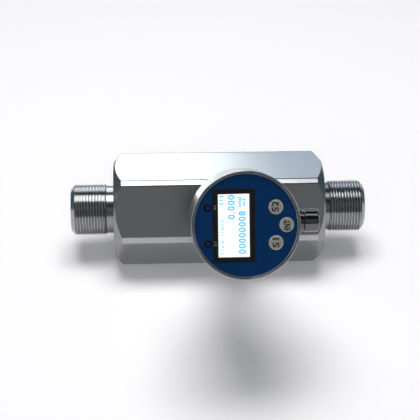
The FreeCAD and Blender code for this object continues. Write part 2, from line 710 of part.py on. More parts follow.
def make_pickup():
    """The coil pickup that counts the blades: shell, pole piece, bobbin, winding, magnet and lead."""
    inside = mm.pickup_radius - mm.pickup_wall
    floor = mm.pickup_foot + mm.pickup_wall
    along_stem("pickup_shell", [
        (0, mm.pickup_foot), (mm.pickup_radius, mm.pickup_foot), (mm.pickup_radius, mm.pickup_top),
        (inside, mm.pickup_top), (inside, floor), (0, floor),
    ])
    along_stem("pole_piece", tube_section(0, mm.pole_radius, floor + mm.play, mm.pole_end))
    tube = mm.pole_radius + mm.play
    core = tube + mm.bobbin_wall
    cheek = inside - mm.play
    along_stem("coil_bobbin", [
        (tube, mm.coil_start), (cheek, mm.coil_start), (cheek, mm.coil_start + mm.bobbin_wall),
        (core, mm.coil_start + mm.bobbin_wall), (core, mm.coil_end - mm.bobbin_wall),
        (cheek, mm.coil_end - mm.bobbin_wall), (cheek, mm.coil_end), (tube, mm.coil_end),
    ])
    low = mm.coil_start + mm.bobbin_wall
    high = mm.coil_end - mm.bobbin_wall
    along_stem("pickup_coil", tube_section(core, cheek - mm.winding_drop, low, high))
    magnet_end = mm.pole_end + mm.magnet_length
    along_stem("pickup_magnet", tube_section(0, mm.magnet_radius, mm.pole_end, magnet_end))
    potting_end = mm.pickup_top - mm.potting_drop
    along_stem("pickup_potting", tube_section(0, inside, magnet_end, potting_end))
    lock_inside = mm.lead_radius + mm.lock_gap
    lock_outside = mm.stem_bore - mm.snug
    lock = tube_section(lock_inside, lock_outside, mm.pickup_top, mm.pickup_top + mm.lock_height)
    along_stem("pickup_lock_ring", lock)
    along_stem("pickup_lead", tube_section(0, mm.lead_radius, potting_end, mm.lead_end))


def make_head_housing():
    """The round housing: cup, swivel collar, flat boss for the connector and the holes through it."""
    inside = mm.head_radius - mm.head_wall
    bore = mm.swivel_radius + mm.running_gap
    floor = mm.head_rear + mm.back_wall
    step = mm.head_front - mm.recess_depth
    body = along_stem("head_housing", [
        (bore, mm.collar_start),
        (mm.collar_radius, mm.collar_start),
        (mm.collar_radius, mm.head_rear),
        (mm.rear_radius - mm.rear_edge, mm.head_rear),
        (mm.rear_radius, mm.head_rear + mm.rear_edge),
        (mm.head_radius, mm.taper_end),
        (mm.head_radius, mm.head_front - mm.front_edge),
        (mm.head_radius - mm.front_edge, mm.head_front),
        (mm.recess_radius, mm.head_front),
        (mm.recess_radius, step),
        (inside, step),
        (inside, mm.taper_end),
        (mm.rear_radius - mm.head_wall, floor),
        (mm.collar_radius, floor),
        (mm.collar_radius, mm.collar_end),
        (bore, mm.collar_end),
    ])
    boss = new_sketch(body, "XZ_Plane", shift_y=mm.plug_height)
    draw_outline(boss, ring_section(mm.boss_start, mm.boss_face, 0, mm.boss_radius))
    turn_profile(body, boss, "H_Axis")
    hole = new_sketch(body, "XZ_Plane", shift_y=mm.plug_height)
    draw_outline(hole, ring_section(mm.tail_start, mm.boss_face + mm.overcut, 0, mm.plug_hole))
    turn_profile(body, hole, "H_Axis", cut=True)
    height = mm.collar_start + mm.set_screw_height
    near = mm.swivel_radius - mm.overcut
    far = mm.collar_radius + mm.overcut
    screw = new_sketch(body, "XZ_Plane", shift_y=height)
    draw_outline(screw, ring_section(near, far, 0, mm.set_screw_hole))
    turn_profile(body, screw, "H_Axis", cut=True)

    point = mm.swivel_radius + mm.set_screw_gap
    shoulder = point + mm.set_screw_radius - mm.set_screw_tip
    end = point + mm.set_screw_length
    body = new_body("swivel_set_screw", put_on_stem)
    shank = new_sketch(body, "XZ_Plane", shift_y=height)
    draw_outline(shank, [
        (point, 0), (point, mm.set_screw_tip), (shoulder, mm.set_screw_radius),
        (end, mm.set_screw_radius), (end, 0),
    ])
    turn_profile(body, shank, "H_Axis")


def lamp_spots():
    return [("upper", mm.lamp_offset, mm.lamp_spread), ("lower", mm.lamp_offset, -mm.lamp_spread)]


def key_spots():
    return [("upper", mm.key_offset, mm.key_spread), ("enter", mm.enter_offset, as_size(0)),
            ("lower", mm.key_offset, -mm.key_spread)]


def draw_display_opening(sketch, margin):
    corners = box_corners(mm.frame_centre, 0, mm.frame_width + 2 * margin, mm.frame_height + 2 * margin)
    draw_outline(sketch, corners)


def make_face():
    """Everything seen from the front: bezel, face plate, display, lamps and keys."""
    seat = mm.head_front - mm.recess_depth
    gasket_top = seat + mm.gasket_height
    bezel_outside = mm.recess_radius - mm.snug
    bezel_seat = mm.face_radius + mm.play
    bezel_top = mm.head_front - mm.bezel_proud
    along_stem("bezel_ring", [
        (bezel_seat, gasket_top), (bezel_outside, gasket_top), (bezel_outside, bezel_top),
        (mm.bezel_inside, bezel_top), (mm.bezel_inside, face_top), (bezel_seat, face_top),
    ])
    gasket_inside = mm.head_radius - mm.head_wall + mm.snug
    gasket_outside = mm.recess_radius - mm.play
    along_stem("face_gasket", tube_section(gasket_inside, gasket_outside, seat, gasket_top))

    def draw_face(sketch):
        draw_circle(sketch, 0, 0, mm.face_radius)
        draw_display_opening(sketch, mm.play)
        for name, x, y in lamp_spots():
            draw_circle(sketch, x, y, mm.lamp_ring + mm.snug)
        for name, x, y in key_spots():
            draw_circle(sketch, x, y, mm.key_radius + mm.key_gap)

    def draw_carrier(sketch):
        draw_circle(sketch, 0, 0, mm.face_radius)
        draw_display_opening(sketch, -mm.carrier_reach)
        for name, x, y in lamp_spots():
            draw_circle(sketch, x, y, mm.lamp_lens + mm.play)
        for name, x, y in key_spots():
            draw_circle(sketch, x, y, mm.key_radius + mm.key_flange + 2 * mm.play)

    plate("face_plate", face_under, mm.face_thickness, draw_face)
    plate("face_carrier", carrier_under, mm.carrier_thickness, draw_carrier)

    def draw_frame(sketch):
        draw_outline(sketch, box_corners(mm.frame_centre, 0, mm.frame_width, mm.frame_height))
        draw_outline(sketch, box_corners(mm.frame_centre, 0, mm.glass_width, mm.glass_height))

    def draw_glass(sketch):
        width = mm.glass_width - mm.play
        height = mm.glass_height - mm.play
        draw_outline(sketch, box_corners(mm.frame_centre, 0, width, height))

    def draw_panel(sketch):
        width = mm.glass_width + 2 * mm.panel_side
        height = mm.glass_height + 2 * mm.panel_end
        draw_outline(sketch, box_corners(mm.frame_centre, 0, width, height))

    plate("display_frame", face_under, mm.face_thickness + mm.frame_proud, draw_frame)
    plate("display_window", face_under, mm.glass_thickness, draw_glass)
    plate("display_panel", face_under - mm.panel_thickness, mm.panel_thickness, draw_panel)

    ring_height = mm.face_thickness + mm.lamp_proud
    lens_height = face_top - board_top + mm.lamp_proud / 2
    lens = mm.lamp_lens - mm.press
    for name, x, y in lamp_spots():
        plate(f"lamp_ring_{name}", face_under, ring_height, draw_ring(x, y, mm.lamp_lens, mm.lamp_ring))
        plate(f"lamp_lens_{name}", board_top, lens_height, draw_ring(x, y, None, lens))
    for name, x, y in key_spots():
        make_key(name, x, y)


def draw_ring(x, y, inside, outside):
    """A drawing of a disc, or of a ring when an inner radius is given."""
    def draw(sketch):
        draw_circle(sketch, x, y, outside)
        if inside is not None:
            draw_circle(sketch, x, y, inside)
    return draw


def make_key(name, x, y):
    """One key: a round cap with a flange behind the face plate, over its tactile switch."""
    top = face_top + mm.key_proud
    bottom = key_rest - mm.key_flange_height
    flange = draw_ring(x, y, None, mm.key_radius + mm.key_flange)
    body = plate(f"key_{name}", bottom, mm.key_flange_height, flange)
    cap = new_sketch(body, "XY_Plane", lift=key_rest)
    draw_circle(cap, x, y, mm.key_radius)
    pad(body, cap, top - key_rest)

    def draw_switch(sketch):
        draw_outline(sketch, box_corners(x, y, mm.switch_size, mm.switch_size))

    switch = plate(f"key_switch_{name}", board_top, mm.switch_height, draw_switch)
    switch_top = board_top + mm.switch_height
    knob = new_sketch(switch, "XY_Plane", lift=switch_top)
    draw_circle(knob, x, y, mm.knob_radius)
    pad(switch, knob, bottom - mm.key_travel - mm.play - switch_top)


def make_boards():
    """The display board, the main board, the posts between them and the screws."""
    reach = mm.post_reach
    spots = [(sx * reach, sy * reach) for sx in (-1, 1) for sy in (-1, 1)]

    def draw_display_board(sketch):
        draw_circle(sketch, 0, 0, mm.board_radius)
        for x, y in spots:
            draw_circle(sketch, x, y, mm.screw_radius + mm.play)

    def draw_main_board(sketch):
        draw_outline(sketch, box_corners(0, 0, mm.main_board_side, mm.main_board_side))
        for x, y in spots:
            draw_circle(sketch, x, y, mm.screw_radius + mm.play)

    def draw_socket(sketch):
        draw_outline(sketch, box_corners(0, 0, mm.socket_width, mm.socket_side))

    socket_start = mm.lead_end + mm.socket_gap
    plate("display_board", board_under, mm.board_thickness, draw_display_board)
    plate("main_board", mm.main_board_height, mm.board_thickness, draw_main_board)
    plate("lead_socket", socket_start, mm.main_board_height - socket_start, draw_socket)

    strips = []
    for side in (-1, 1):
        strip = doc.addObject("Part::Box", f"contact_strip_{side + 1}")
        bind(strip, "Length", mm.strip_length)
        bind(strip, "Width", mm.strip_width)
        bind(strip, "Height", face_under - mm.panel_thickness - board_top)
        bind(strip, "Placement.Base.x", mm.frame_centre - mm.strip_length / 2)
        bind(strip, "Placement.Base.y", side * (mm.glass_height - mm.strip_width) / 2 - mm.strip_width / 2)
        bind(strip, "Placement.Base.z", board_top)
        strips.append(strip)
    group("contact_strips", strips)

    floor = mm.head_rear + mm.back_wall
    main_top = mm.main_board_height + mm.board_thickness
    rear_bore = mm.main_board_height - mm.thread_bite
    front_bore = board_under - mm.thread_bite
    stud = main_top - rear_bore
    rear, front, screws = [], [], []
    for index, (x, y) in enumerate(spots):
        post = cylinder_at(f"rear_post_{index}", x, y, floor, mm.post_radius, mm.main_board_height - floor)
        hole = cylinder_at(f"rear_hole_{index}", x, y, rear_bore, mm.screw_radius, mm.thread_bite)
        rear.append(joined("Part::Cut", f"rear_bored_{index}", post, hole))

        post = cylinder_at(f"front_post_{index}", x, y, main_top, mm.post_radius, board_under - main_top)
        hole = cylinder_at(f"front_hole_{index}", x, y, front_bore, mm.screw_radius, mm.thread_bite)
        bored = joined("Part::Cut", f"front_bored_{index}", post, hole)
        end = cylinder_at(f"front_stud_{index}", x, y, rear_bore, mm.screw_radius, stud)
        front.append(joined("Part::Fuse", f"front_whole_{index}", bored, end))

        length = board_top - front_bore
        shank = cylinder_at(f"screw_shank_{index}", x, y, front_bore, mm.screw_radius, length)
        cap = cylinder_at(f"screw_cap_{index}", x, y, board_top, mm.screw_head, mm.screw_cap)
        screws.append(joined("Part::Fuse", f"board_screw_{index}", shank, cap))
    group("rear_posts", rear)
    group("board_posts", front)
    group("board_screws", screws)


def make_connector():
    """The round cable connector on the head's side: gasket, shell, nut, insert and pins."""
    gasket_end = mm.boss_face + mm.plug_gasket
    inside = mm.shell_radius - mm.shell_wall
    edge_start = mm.shell_end - mm.shell_edge
    gasket_inside = mm.tail_radius + mm.play
    gasket = ring_section(mm.boss_face, gasket_end, gasket_inside, mm.flange_radius)
    along_plug("connector_gasket", gasket)
    along_plug("connector_shell", [
        (mm.tail_start, mm.tail_bore), (mm.tail_start, mm.tail_radius), (gasket_end, mm.tail_radius),
        (gasket_end, mm.flange_radius), (mm.flange_end, mm.flange_radius), (mm.flange_end, mm.shell_radius),
        (edge_start, mm.shell_radius), (mm.shell_end, mm.shell_radius - mm.shell_edge),
        (mm.shell_end, inside), (mm.socket_floor, inside), (mm.socket_floor, mm.tail_bore),
    ])
    body = new_body("connector_nut", put_on_stem)
    nut = new_sketch(body, "YZ_Plane", shift_y=mm.plug_height, lift=mm.nut_start)
    draw_outline(nut, hexagon_corners(mm.nut_flats))
    draw_circle(nut, 0, 0, mm.tail_radius + mm.press)
    pad(body, nut, mm.nut_height)

    stalk = mm.tail_bore - mm.press
    disc = inside - mm.snug
    seat = mm.socket_floor + mm.press
    start = mm.socket_floor + mm.insert_cap
    along_plug("connector_insert", [
        (mm.tail_start, 0), (mm.tail_start, stalk), (seat, stalk), (seat, disc), (start, disc), (start, 0),
    ])
    pins = [(0, 0)]
    corner = mm.pin_circle / Size(math.sqrt(2), "sqrt(2)")
    pins += [(sx * corner, sy * corner) for sx in (-1, 1) for sy in (-1, 1)]
    members = []
    for index, (across, up) in enumerate(pins):
        pin = doc.addObject("Part::Cylinder", f"contact_{index}")
        bind(pin, "Radius", mm.pin_radius)
        bind(pin, "Height", mm.pin_end - start)
        pin.Placement = Placement(Vector(0, 0, 0), Rotation(Vector(0, 1, 0), 90))
        bind(pin, "Placement.Base.x", start)
        bind(pin, "Placement.Base.y", across)
        bind(pin, "Placement.Base.z", mm.plug_height + up)
        members.append(pin)
    group("connector_pins", members)


def make_connector_lead():
    """The short lead inside the head, from the connector's tail down to the main board."""
    radius = mm.lead_radius.value
    bend = mm.lead_bend.value
    main_top = (mm.main_board_height + mm.board_thickness).value
    height = mm.plug_height.value
    start = mm.tail_start.value
    turn = start - mm.lead_exit.value
    foot = turn - bend
    middle = Vector(foot + bend * (1 - math.sqrt(0.5)), 0, height - bend * (1 - math.sqrt(0.5)))
    path = Part.Wire([
        Part.LineSegment(Vector(start, 0, height), Vector(turn, 0, height)).toShape(),
        Part.Arc(Vector(turn, 0, height), middle, Vector(foot, 0, height - bend)).toShape(),
        Part.LineSegment(Vector(foot, 0, height - bend), Vector(foot, 0, main_top)).toShape(),
    ])
    ring = Part.Wire([Part.Circle(Vector(start, 0, height), Vector(1, 0, 0), radius).toShape()])
    lead = doc.addObject("Part::Feature", "connector_lead")
    lead.Shape = path.makePipeShell([ring], True, True)
    put_on_stem(lead)
    pieces.append(lead)
    expected = math.pi * radius ** 2 * path.Length
    print(f"connector_lead volume {lead.Shape.Volume:.1f} of {expected:.1f}")


def check_and_export():
    """Stop if any object failed, then write one file per piece."""
    doc.recompute()
    failed = [item.Label for item in doc.Objects if {"Invalid", "Error"} & set(item.State)]
    if failed:
        raise SystemExit(f"failed objects: {failed}")
    os.makedirs("parts", exist_ok=True)
    for piece in pieces:
        shape = piece.Shape
        if shape.isNull() or not shape.isValid() or not shape.Solids:
            raise SystemExit(f"bad shape: {piece.Label}")
    for piece in pieces:
        piece.Shape.exportStep(f"parts/{piece.Label}.step")
    volume = sum(piece.Shape.Volume for piece in pieces) / 1000
    print(f"{len(pieces)} pieces, {volume:.0f} cm3")


make_meter_body()
make_flow_path()
make_rotor()
make_stem()
make_pickup()
make_head_housing()
make_face()
make_boards()
make_connector()
make_connector_lead()
check_and_export()
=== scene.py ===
# %% [markdown]
# # A turbine flow meter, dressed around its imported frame
#
# A hexagonal steel bar holds a turbine, and a round display head stands on one of its flats. The CAD
# frame says where everything is. This lesson models what is seen from outside again with Blender's own
# operators, so that edges catch light, threads are real helices and every surface has a finish.

# %% Frame and tools
import json
import math

import bmesh
import bpy
from mathutils import Matrix, Vector


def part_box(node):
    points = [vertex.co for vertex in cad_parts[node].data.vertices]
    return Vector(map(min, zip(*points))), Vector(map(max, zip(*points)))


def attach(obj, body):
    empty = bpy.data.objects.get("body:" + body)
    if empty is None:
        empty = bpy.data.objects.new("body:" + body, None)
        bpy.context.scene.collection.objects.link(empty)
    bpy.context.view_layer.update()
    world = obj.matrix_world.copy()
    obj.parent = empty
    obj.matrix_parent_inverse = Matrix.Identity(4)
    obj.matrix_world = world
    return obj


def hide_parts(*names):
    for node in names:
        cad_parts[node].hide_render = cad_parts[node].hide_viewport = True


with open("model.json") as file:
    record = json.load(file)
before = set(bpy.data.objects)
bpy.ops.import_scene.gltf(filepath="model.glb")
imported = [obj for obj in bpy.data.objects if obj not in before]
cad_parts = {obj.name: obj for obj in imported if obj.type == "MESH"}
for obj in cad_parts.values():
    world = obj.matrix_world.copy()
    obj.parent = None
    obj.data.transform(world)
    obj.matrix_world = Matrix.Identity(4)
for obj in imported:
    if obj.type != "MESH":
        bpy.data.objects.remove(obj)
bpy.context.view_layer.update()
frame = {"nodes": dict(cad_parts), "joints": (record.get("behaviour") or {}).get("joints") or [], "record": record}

# %% [markdown]
# ## Two places to build in
#
# Turned pieces are easiest to draw about an upright Z axis. The bar's own axis lies level, half the bar's
# height above the floor, and the stem's axis leans forwards. The frame's joint for the head gives that
# leaning axis, so two matrices carry every piece from where it is drawn to where it belongs.

# %% Axes from the frame
MM = 0.001
FULL_TURN = math.tau

swivel = next(joint for joint in frame["joints"] if joint["name"] == "head_swivel")
stem_axis = Vector(swivel["axis"])
lean = math.atan2(-stem_axis.y, stem_axis.z)
bar_low, bar_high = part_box("meter_body")
axis_height = (bar_low.z + bar_high.z) / 2
pickup_x = swivel["pos_m"][0]
ON_PIPE = Matrix.Translation((0, 0, axis_height)) @ Matrix.Rotation(math.radians(90), 4, "Y")
ON_STEM = Matrix.Translation((pickup_x, 0, axis_height)) @ Matrix.Rotation(lean, 4, "X")
print("lean", round(math.degrees(lean), 2), "stem at x", pickup_x, "bar axis at z", axis_height)


def measured(node, placing=ON_STEM):
    """Lowest and highest corner of a CAD node, in millimetres, seen from where its copy is drawn."""
    back = placing.inverted()
    spots = [back @ vertex.co for vertex in frame["nodes"][node].data.vertices]
    low = Vector([min(spot[axis] for spot in spots) for axis in range(3)]) / MM
    high = Vector([max(spot[axis] for spot in spots) for axis in range(3)]) / MM
    return low, high


# %% [markdown]
# ## The camera first
#
# The photograph is taken from a little left of the middle and from above, with a long lens. Its place was
# found by fitting the bar's edges, the threads and the head's rim, so it is written here as a place, a
# point to look at, a small roll and a focal length for a 36 mm sensor.

# %% Camera
camera_place = Vector((-49.9, -768.8, 548.9)) * MM
camera_target = Vector((-5.25, 0.0, 32.9)) * MM
camera_roll = math.radians(0.895)
camera_lens = 111.6

camera_data = bpy.data.cameras.new("camera")
camera = bpy.data.objects.new("camera", camera_data)
bpy.context.scene.collection.objects.link(camera)
camera_data.sensor_width = 36.0
camera_data.lens = camera_lens
camera_data.clip_start = 0.05
camera_data.clip_end = 50.0
gaze = (camera_target - camera_place).to_track_quat("-Z", "Y").to_matrix().to_4x4()
camera.matrix_world = Matrix.Translation(camera_place) @ gaze @ Matrix.Rotation(camera_roll, 4, "Z")
bpy.context.scene.camera = camera
print("camera distance", round((camera_target - camera_place).length, 4), "m")

# %% [markdown]
# ## A white floor
#
# The object lies on a white sheet that shows only its shadow. The sheet is white by its own colour and by
# a faint glow that only the camera, metal and glass see.

# %% Floor
scene = bpy.context.scene
scene.view_settings.view_transform = "Standard"


def set_inputs(node, inputs):
    for key, value in inputs.items():
        node.inputs[key].default_value = value


def new_material(name, inputs):
    """A node material with its tree and its shader, whose inputs get the values given."""
    material = bpy.data.materials.new(name)
    material.use_nodes = True
    tree = material.node_tree
    shader = tree.nodes["Principled BSDF"]
    set_inputs(shader, inputs)
    return material, tree, shader


def add_node(tree, kind, inputs=None, **settings):
    """A new node with its settings and the values of its inputs."""
    node = tree.nodes.new(kind)
    for key, value in settings.items():
        setattr(node, key, value)
    set_inputs(node, inputs or {})
    return node


floor_white = (0.95, 0.93, 0.945)
floor_glow = 0.09
floor_size = 12.0
bpy.ops.mesh.primitive_plane_add(size=floor_size, location=(0, 0, 0))
floor = bpy.context.object
floor.name = "studio_floor"
floor_material, tree, shader = new_material("white_sheet", {
    "Base Color": (*floor_white, 1), "Roughness": 1.0, "Specular IOR Level": 0.0, "Emission Color": (1, 1, 1, 1),
})
ray = add_node(tree, "ShaderNodeLightPath")
seen = add_node(tree, "ShaderNodeMath", operation="ADD")
seen_through = add_node(tree, "ShaderNodeMath", operation="ADD")
glow = add_node(tree, "ShaderNodeMath", {1: floor_glow}, operation="MULTIPLY")
link = tree.links.new
link(ray.outputs["Is Camera Ray"], seen.inputs[0])
link(ray.outputs["Is Glossy Ray"], seen.inputs[1])
link(seen.outputs["Value"], seen_through.inputs[0])
link(ray.outputs["Is Transmission Ray"], seen_through.inputs[1])
link(seen_through.outputs["Value"], glow.inputs[0])
link(glow.outputs["Value"], shader.inputs["Emission Strength"])
floor.data.materials.append(floor_material)
print("floor colour", floor_white, "glow", floor_glow)

# %% [markdown]
# ## Lamps that light, and panels to mirror
#
# A soft lamp above and a wide one in front light the object at a level where a colour renders about as it
# is written. A steel flat is as bright as what it mirrors: the top flat mirrors what stands behind the
# object, and the flat that faces the camera mirrors the dim room in front. So the other panels give no
# light. They are there to be mirrored: two behind, three above with dark gaps between them, and one at
# each side.

# %% Lamps and panels
def soft_lamp(name, place, size, glow, color=(1, 1, 1), glossy=True, diffuse=True):
    """A rectangular lamp aimed at the bar, as bright as its glow says on every square metre."""
    data = bpy.data.lights.new(name, "AREA")
    data.shape = "RECTANGLE"
    data.size, data.size_y = size
    data.energy = glow * math.pi * size[0] * size[1]
    data.color = color
    lamp = bpy.data.objects.new(name, data)
    scene.collection.objects.link(lamp)
    place = Vector(place)
    aim = (Vector((0, 0, axis_height)) - place).to_track_quat("-Z", "Y").to_matrix().to_4x4()
    lamp.matrix_world = Matrix.Translation(place) @ aim
    lamp.visible_glossy = glossy
    lamp.visible_diffuse = diffuse
    print(name, "glow", glow, "power", round(data.energy, 1), "W")


soft_lamp("overhead_lamp", (-0.05, 0.14, 1.5), (1.0, 0.75), 7.9, glossy=False)
soft_lamp("overhead_mirror", (-0.40, -0.11, 1.5), (0.8, 1.0), 6.5, diffuse=False)
soft_lamp("overhead_side_mirror", (0.135, -0.11, 1.5), (0.27, 1.0), 0.5, color=(0.95, 0.97, 1.0), diffuse=False)
soft_lamp("overhead_far_mirror", (0.53, -0.11, 1.5), (0.5, 1.0), 1.0, diffuse=False)
soft_lamp("left_panel", (-1.6, -0.2, 0.7), (1.0, 0.7), 1.8, diffuse=False)
soft_lamp("right_panel", (1.6, -0.2, 0.7), (1.0, 0.7), 1.3, diffuse=False)
soft_lamp("back_panel", (-0.40, 1.55, 1.15), (1.15, 1.3), 3.4, color=(0.88, 0.96, 1.0), diffuse=False)
soft_lamp("back_side_panel", (0.78, 1.55, 1.15), (1.2, 1.3), 0.93, color=(0.61, 0.78, 1.0), diffuse=False)
soft_lamp("front_fill", (-0.3, -1.8, 1.2), (1.6, 1.6), 1.2, glossy=False)

# %% [markdown]
# ## The room
#
# The world is what steel mirrors where no panel stands: blue grey at the horizon, grey above it and nearly
# black overhead.

# %% Room
room_tones = (  # height of a direction from level (0) to straight up (1), and the room's light there
    (0.12, (0.10, 0.17, 0.22)),
    (0.30, (0.225, 0.24, 0.255)),
    (0.62, (0.225, 0.24, 0.255)),
    (0.74, (0.035, 0.037, 0.04)),
)
world = bpy.data.worlds.new("room")
scene.world = world
world.use_nodes = True
tree = world.node_tree
direction = add_node(tree, "ShaderNodeTexCoord")
parts = add_node(tree, "ShaderNodeSeparateXYZ")
tones = add_node(tree, "ShaderNodeValToRGB")
while len(tones.color_ramp.elements) < len(room_tones):
    tones.color_ramp.elements.new(1.0)
for element, (height, tone) in zip(tones.color_ramp.elements, room_tones):
    element.position = height
    element.color = (*tone, 1)
link = tree.links.new
link(direction.outputs["Generated"], parts.inputs["Vector"])
link(parts.outputs["Z"], tones.inputs["Fac"])
link(tones.outputs["Color"], tree.nodes["Background"].inputs["Color"])
print("room tones", len(room_tones))

# %% [markdown]
# ## Small tools of the bench
#
# Each piece goes through the same hands: it is drawn, cut or joined, given soft edges, shaded, put in its
# place and told which body it rides on. These are the hands: selecting, cutting, healing and softening.
# Booleans do what a mill does.

# %% Bench tools
def deselect():
    bpy.ops.object.select_all(action="DESELECT")


def take(piece):
    """Make a piece the only selected and active one."""
    deselect()
    piece.select_set(True)
    bpy.context.view_layer.objects.active = piece


def start_edit(piece, kind, passes):
    """Enter edit mode with only the faces or edges that pass a test selected."""
    take(piece)
    bpy.ops.object.mode_set(mode="EDIT")
    bpy.ops.mesh.select_mode(type=kind)
    bpy.ops.mesh.select_all(action="DESELECT")
    mesh = bmesh.from_edit_mesh(piece.data)
    for part in (mesh.faces if kind == "FACE" else mesh.edges):
        part.select_set(bool(passes(part)))
    bmesh.update_edit_mesh(piece.data)


def end_edit():
    bpy.ops.object.mode_set(mode="OBJECT")


def apply_modifier(piece, kind, **settings):
    """Add a modifier and apply it at once."""
    take(piece)
    modifier = piece.modifiers.new(kind.lower(), kind)
    for key, value in settings.items():
        setattr(modifier, key, value)
    bpy.ops.object.modifier_apply(modifier=modifier.name)


def cut(piece, tool, operation="DIFFERENCE"):
    """Cut a tool away from a piece, or join or intersect them. The tool is used up."""
    apply_modifier(piece, "BOOLEAN", object=tool, operation=operation, solver="EXACT")
    bpy.data.objects.remove(tool)


def heal(piece):
    """Merge points that a boolean left almost on each other, and close the slits between them."""
    take(piece)
    bpy.ops.object.mode_set(mode="EDIT")
    bpy.ops.mesh.select_all(action="SELECT")
    bpy.ops.mesh.remove_doubles(threshold=0.004 * MM)
    bpy.ops.mesh.dissolve_degenerate(threshold=0.002 * MM)
    bpy.ops.mesh.select_all(action="SELECT")
    bpy.ops.mesh.fill_holes(sides=6)
    end_edit()


def soften(piece, width, segments=3, angle=35):
    """Round every edge that is sharper than an angle."""
    apply_modifier(piece, "BEVEL", width=width * MM, segments=segments, limit_method="ANGLE",
                   angle_limit=math.radians(angle), harden_normals=False, miter_outer="MITER_ARC")


def polish(piece, angle=32):
    """Smooth shading up to an angle, with normals weighted so that flats stay flat."""
    take(piece)
    bpy.ops.object.shade_smooth_by_angle(angle=math.radians(angle))
    apply_modifier(piece, "WEIGHTED_NORMAL", keep_sharp=True, weight=80)


def stand(piece, placing):
    """Move the drawn piece to its place and leave the place in its mesh."""
    take(piece)
    piece.matrix_world = placing
    bpy.ops.object.transform_apply(location=True, rotation=True, scale=True)


# %% [markdown]
# ## Handing a piece over
#
# A finished piece gets its name, its finish, the body that it rides on and the CAD nodes that it replaces.
# Its open edges are counted, because a closed mesh is what a print or a simulation needs.

# %% Handing over
def stand_turned(tool, degrees, placing=Matrix()):
    """Place a cutting tool turned a little, so that none of its edges lies on one of the piece."""
    stand(tool, placing @ Matrix.Rotation(math.radians(degrees), 4, "Z"))


def open_edges(piece):
    mesh = bmesh.new()
    mesh.from_mesh(piece.data)
    count = sum(1 for edge in mesh.edges if len(edge.link_faces) != 2)
    mesh.free()
    return count


def hand_over(piece, name, body, slot, material, *nodes):
    """Name a finished piece, give it its finish, its body and the CAD nodes that it stands for."""
    piece.name = name
    piece.data.name = name
    piece.data.materials.clear()
    piece.data.materials.append(material)
    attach(piece, body)
    if nodes:
        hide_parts(*nodes)
    print(name, "faces", len(piece.data.polygons), "open edges", open_edges(piece))


def complete(piece, placing, name, body, slot, material, *nodes, angle=32):
    """Smooth a drawn piece, stand it in its place and hand it over."""
    polish(piece, angle)
    stand(piece, placing)
    hand_over(piece, name, body, slot, material, *nodes)


def finish_faces(piece, material, passes):
    """Give the faces that pass a test a finish of their own."""
    piece.data.materials.append(material)
    start_edit(piece, "FACE", passes)
    piece.active_material_index = len(piece.data.materials) - 1
    bpy.ops.object.material_slot_assign()
    end_edit()


# %% [markdown]
# ## Drawing shapes
#
# A turned piece is drawn as half of its section, one corner after another, and spun. Rods and blocks are
# plain primitives between two heights.

# %% Shapes
def outline_mesh(name, corners):
    """A closed run of edges through (x, z) corners in millimetres, drawn by extruding one point."""
    deselect()
    bpy.ops.mesh.primitive_plane_add(size=MM)
    piece = bpy.context.object
    piece.name = name
    bpy.ops.object.mode_set(mode="EDIT")
    bpy.ops.mesh.select_mode(type="VERT")
    bpy.ops.mesh.select_all(action="SELECT")
    bpy.ops.mesh.merge(type="CENTER")
    x, z = corners[0]
    bpy.ops.transform.translate(value=(x * MM, 0, z * MM))
    for next_x, next_z in corners[1:]:
        step = ((next_x - x) * MM, 0, (next_z - z) * MM)
        bpy.ops.mesh.extrude_region_move(TRANSFORM_OT_translate={"value": step})
        x, z = next_x, next_z
    return piece


def turned(name, corners, steps=128):
    """A piece turned about the Z axis from (radius, height) corners in millimetres."""
    on_axis = corners[0][0] == 0 and corners[-1][0] == 0
    piece = outline_mesh(name, list(corners) if on_axis else list(corners) + [corners[0]])
    bpy.ops.mesh.select_all(action="SELECT")
    bpy.ops.mesh.spin(steps=steps, angle=FULL_TURN, center=(0, 0, 0), axis=(0, 0, 1))
    bpy.ops.mesh.select_all(action="SELECT")
    bpy.ops.mesh.remove_doubles(threshold=0.0005 * MM)
    bpy.ops.mesh.normals_make_consistent(inside=False)
    end_edit()
    return piece


def rod(name, radius, low, high, x=0.0, y=0.0, sides=64):
    """An upright cylinder between two heights, in millimetres."""
    deselect()
    place = (x * MM, y * MM, (low + high) / 2 * MM)
    depth = (high - low) * MM
    bpy.ops.mesh.primitive_cylinder_add(vertices=sides, radius=radius * MM, depth=depth, location=place)
    piece = bpy.context.object
    piece.name = name
    bpy.ops.object.transform_apply(location=True, rotation=True, scale=True)
    return piece


def block(name, width, depth, low, high, x=0.0, y=0.0):
    """An upright box between two heights, in millimetres."""
    deselect()
    bpy.ops.mesh.primitive_cube_add(size=1.0, location=(x * MM, y * MM, (low + high) / 2 * MM))
    piece = bpy.context.object
    piece.name = name
    piece.scale = (width * MM, depth * MM, (high - low) * MM)
    bpy.ops.object.transform_apply(location=True, rotation=True, scale=True)
    return piece


# %% [markdown]
# ## Metal finishes
#
# Bare steel has no colour of its own to paint: it is a mirror with a grain. The bar is drawn, so its grain
# runs along it, and what a lathe has cut has fine rings instead. For lines, noise is squeezed across the
# grain. For rings, the noise reads only the distance from the turning axis and the height along it. Either
# drives roughness and a slight bump. Numbers that stay the same all over go on the shader's own sockets.

# %% Metals
def long_lines(tree, stretch):
    """Object coordinates, squeezed across and left long: stretch is how many lines a metre along X, Y and Z."""
    place = add_node(tree, "ShaderNodeTexCoord")
    scale = add_node(tree, "ShaderNodeMapping", {"Scale": stretch})
    tree.links.new(place.outputs["Object"], scale.inputs["Vector"])
    return scale.outputs["Vector"]


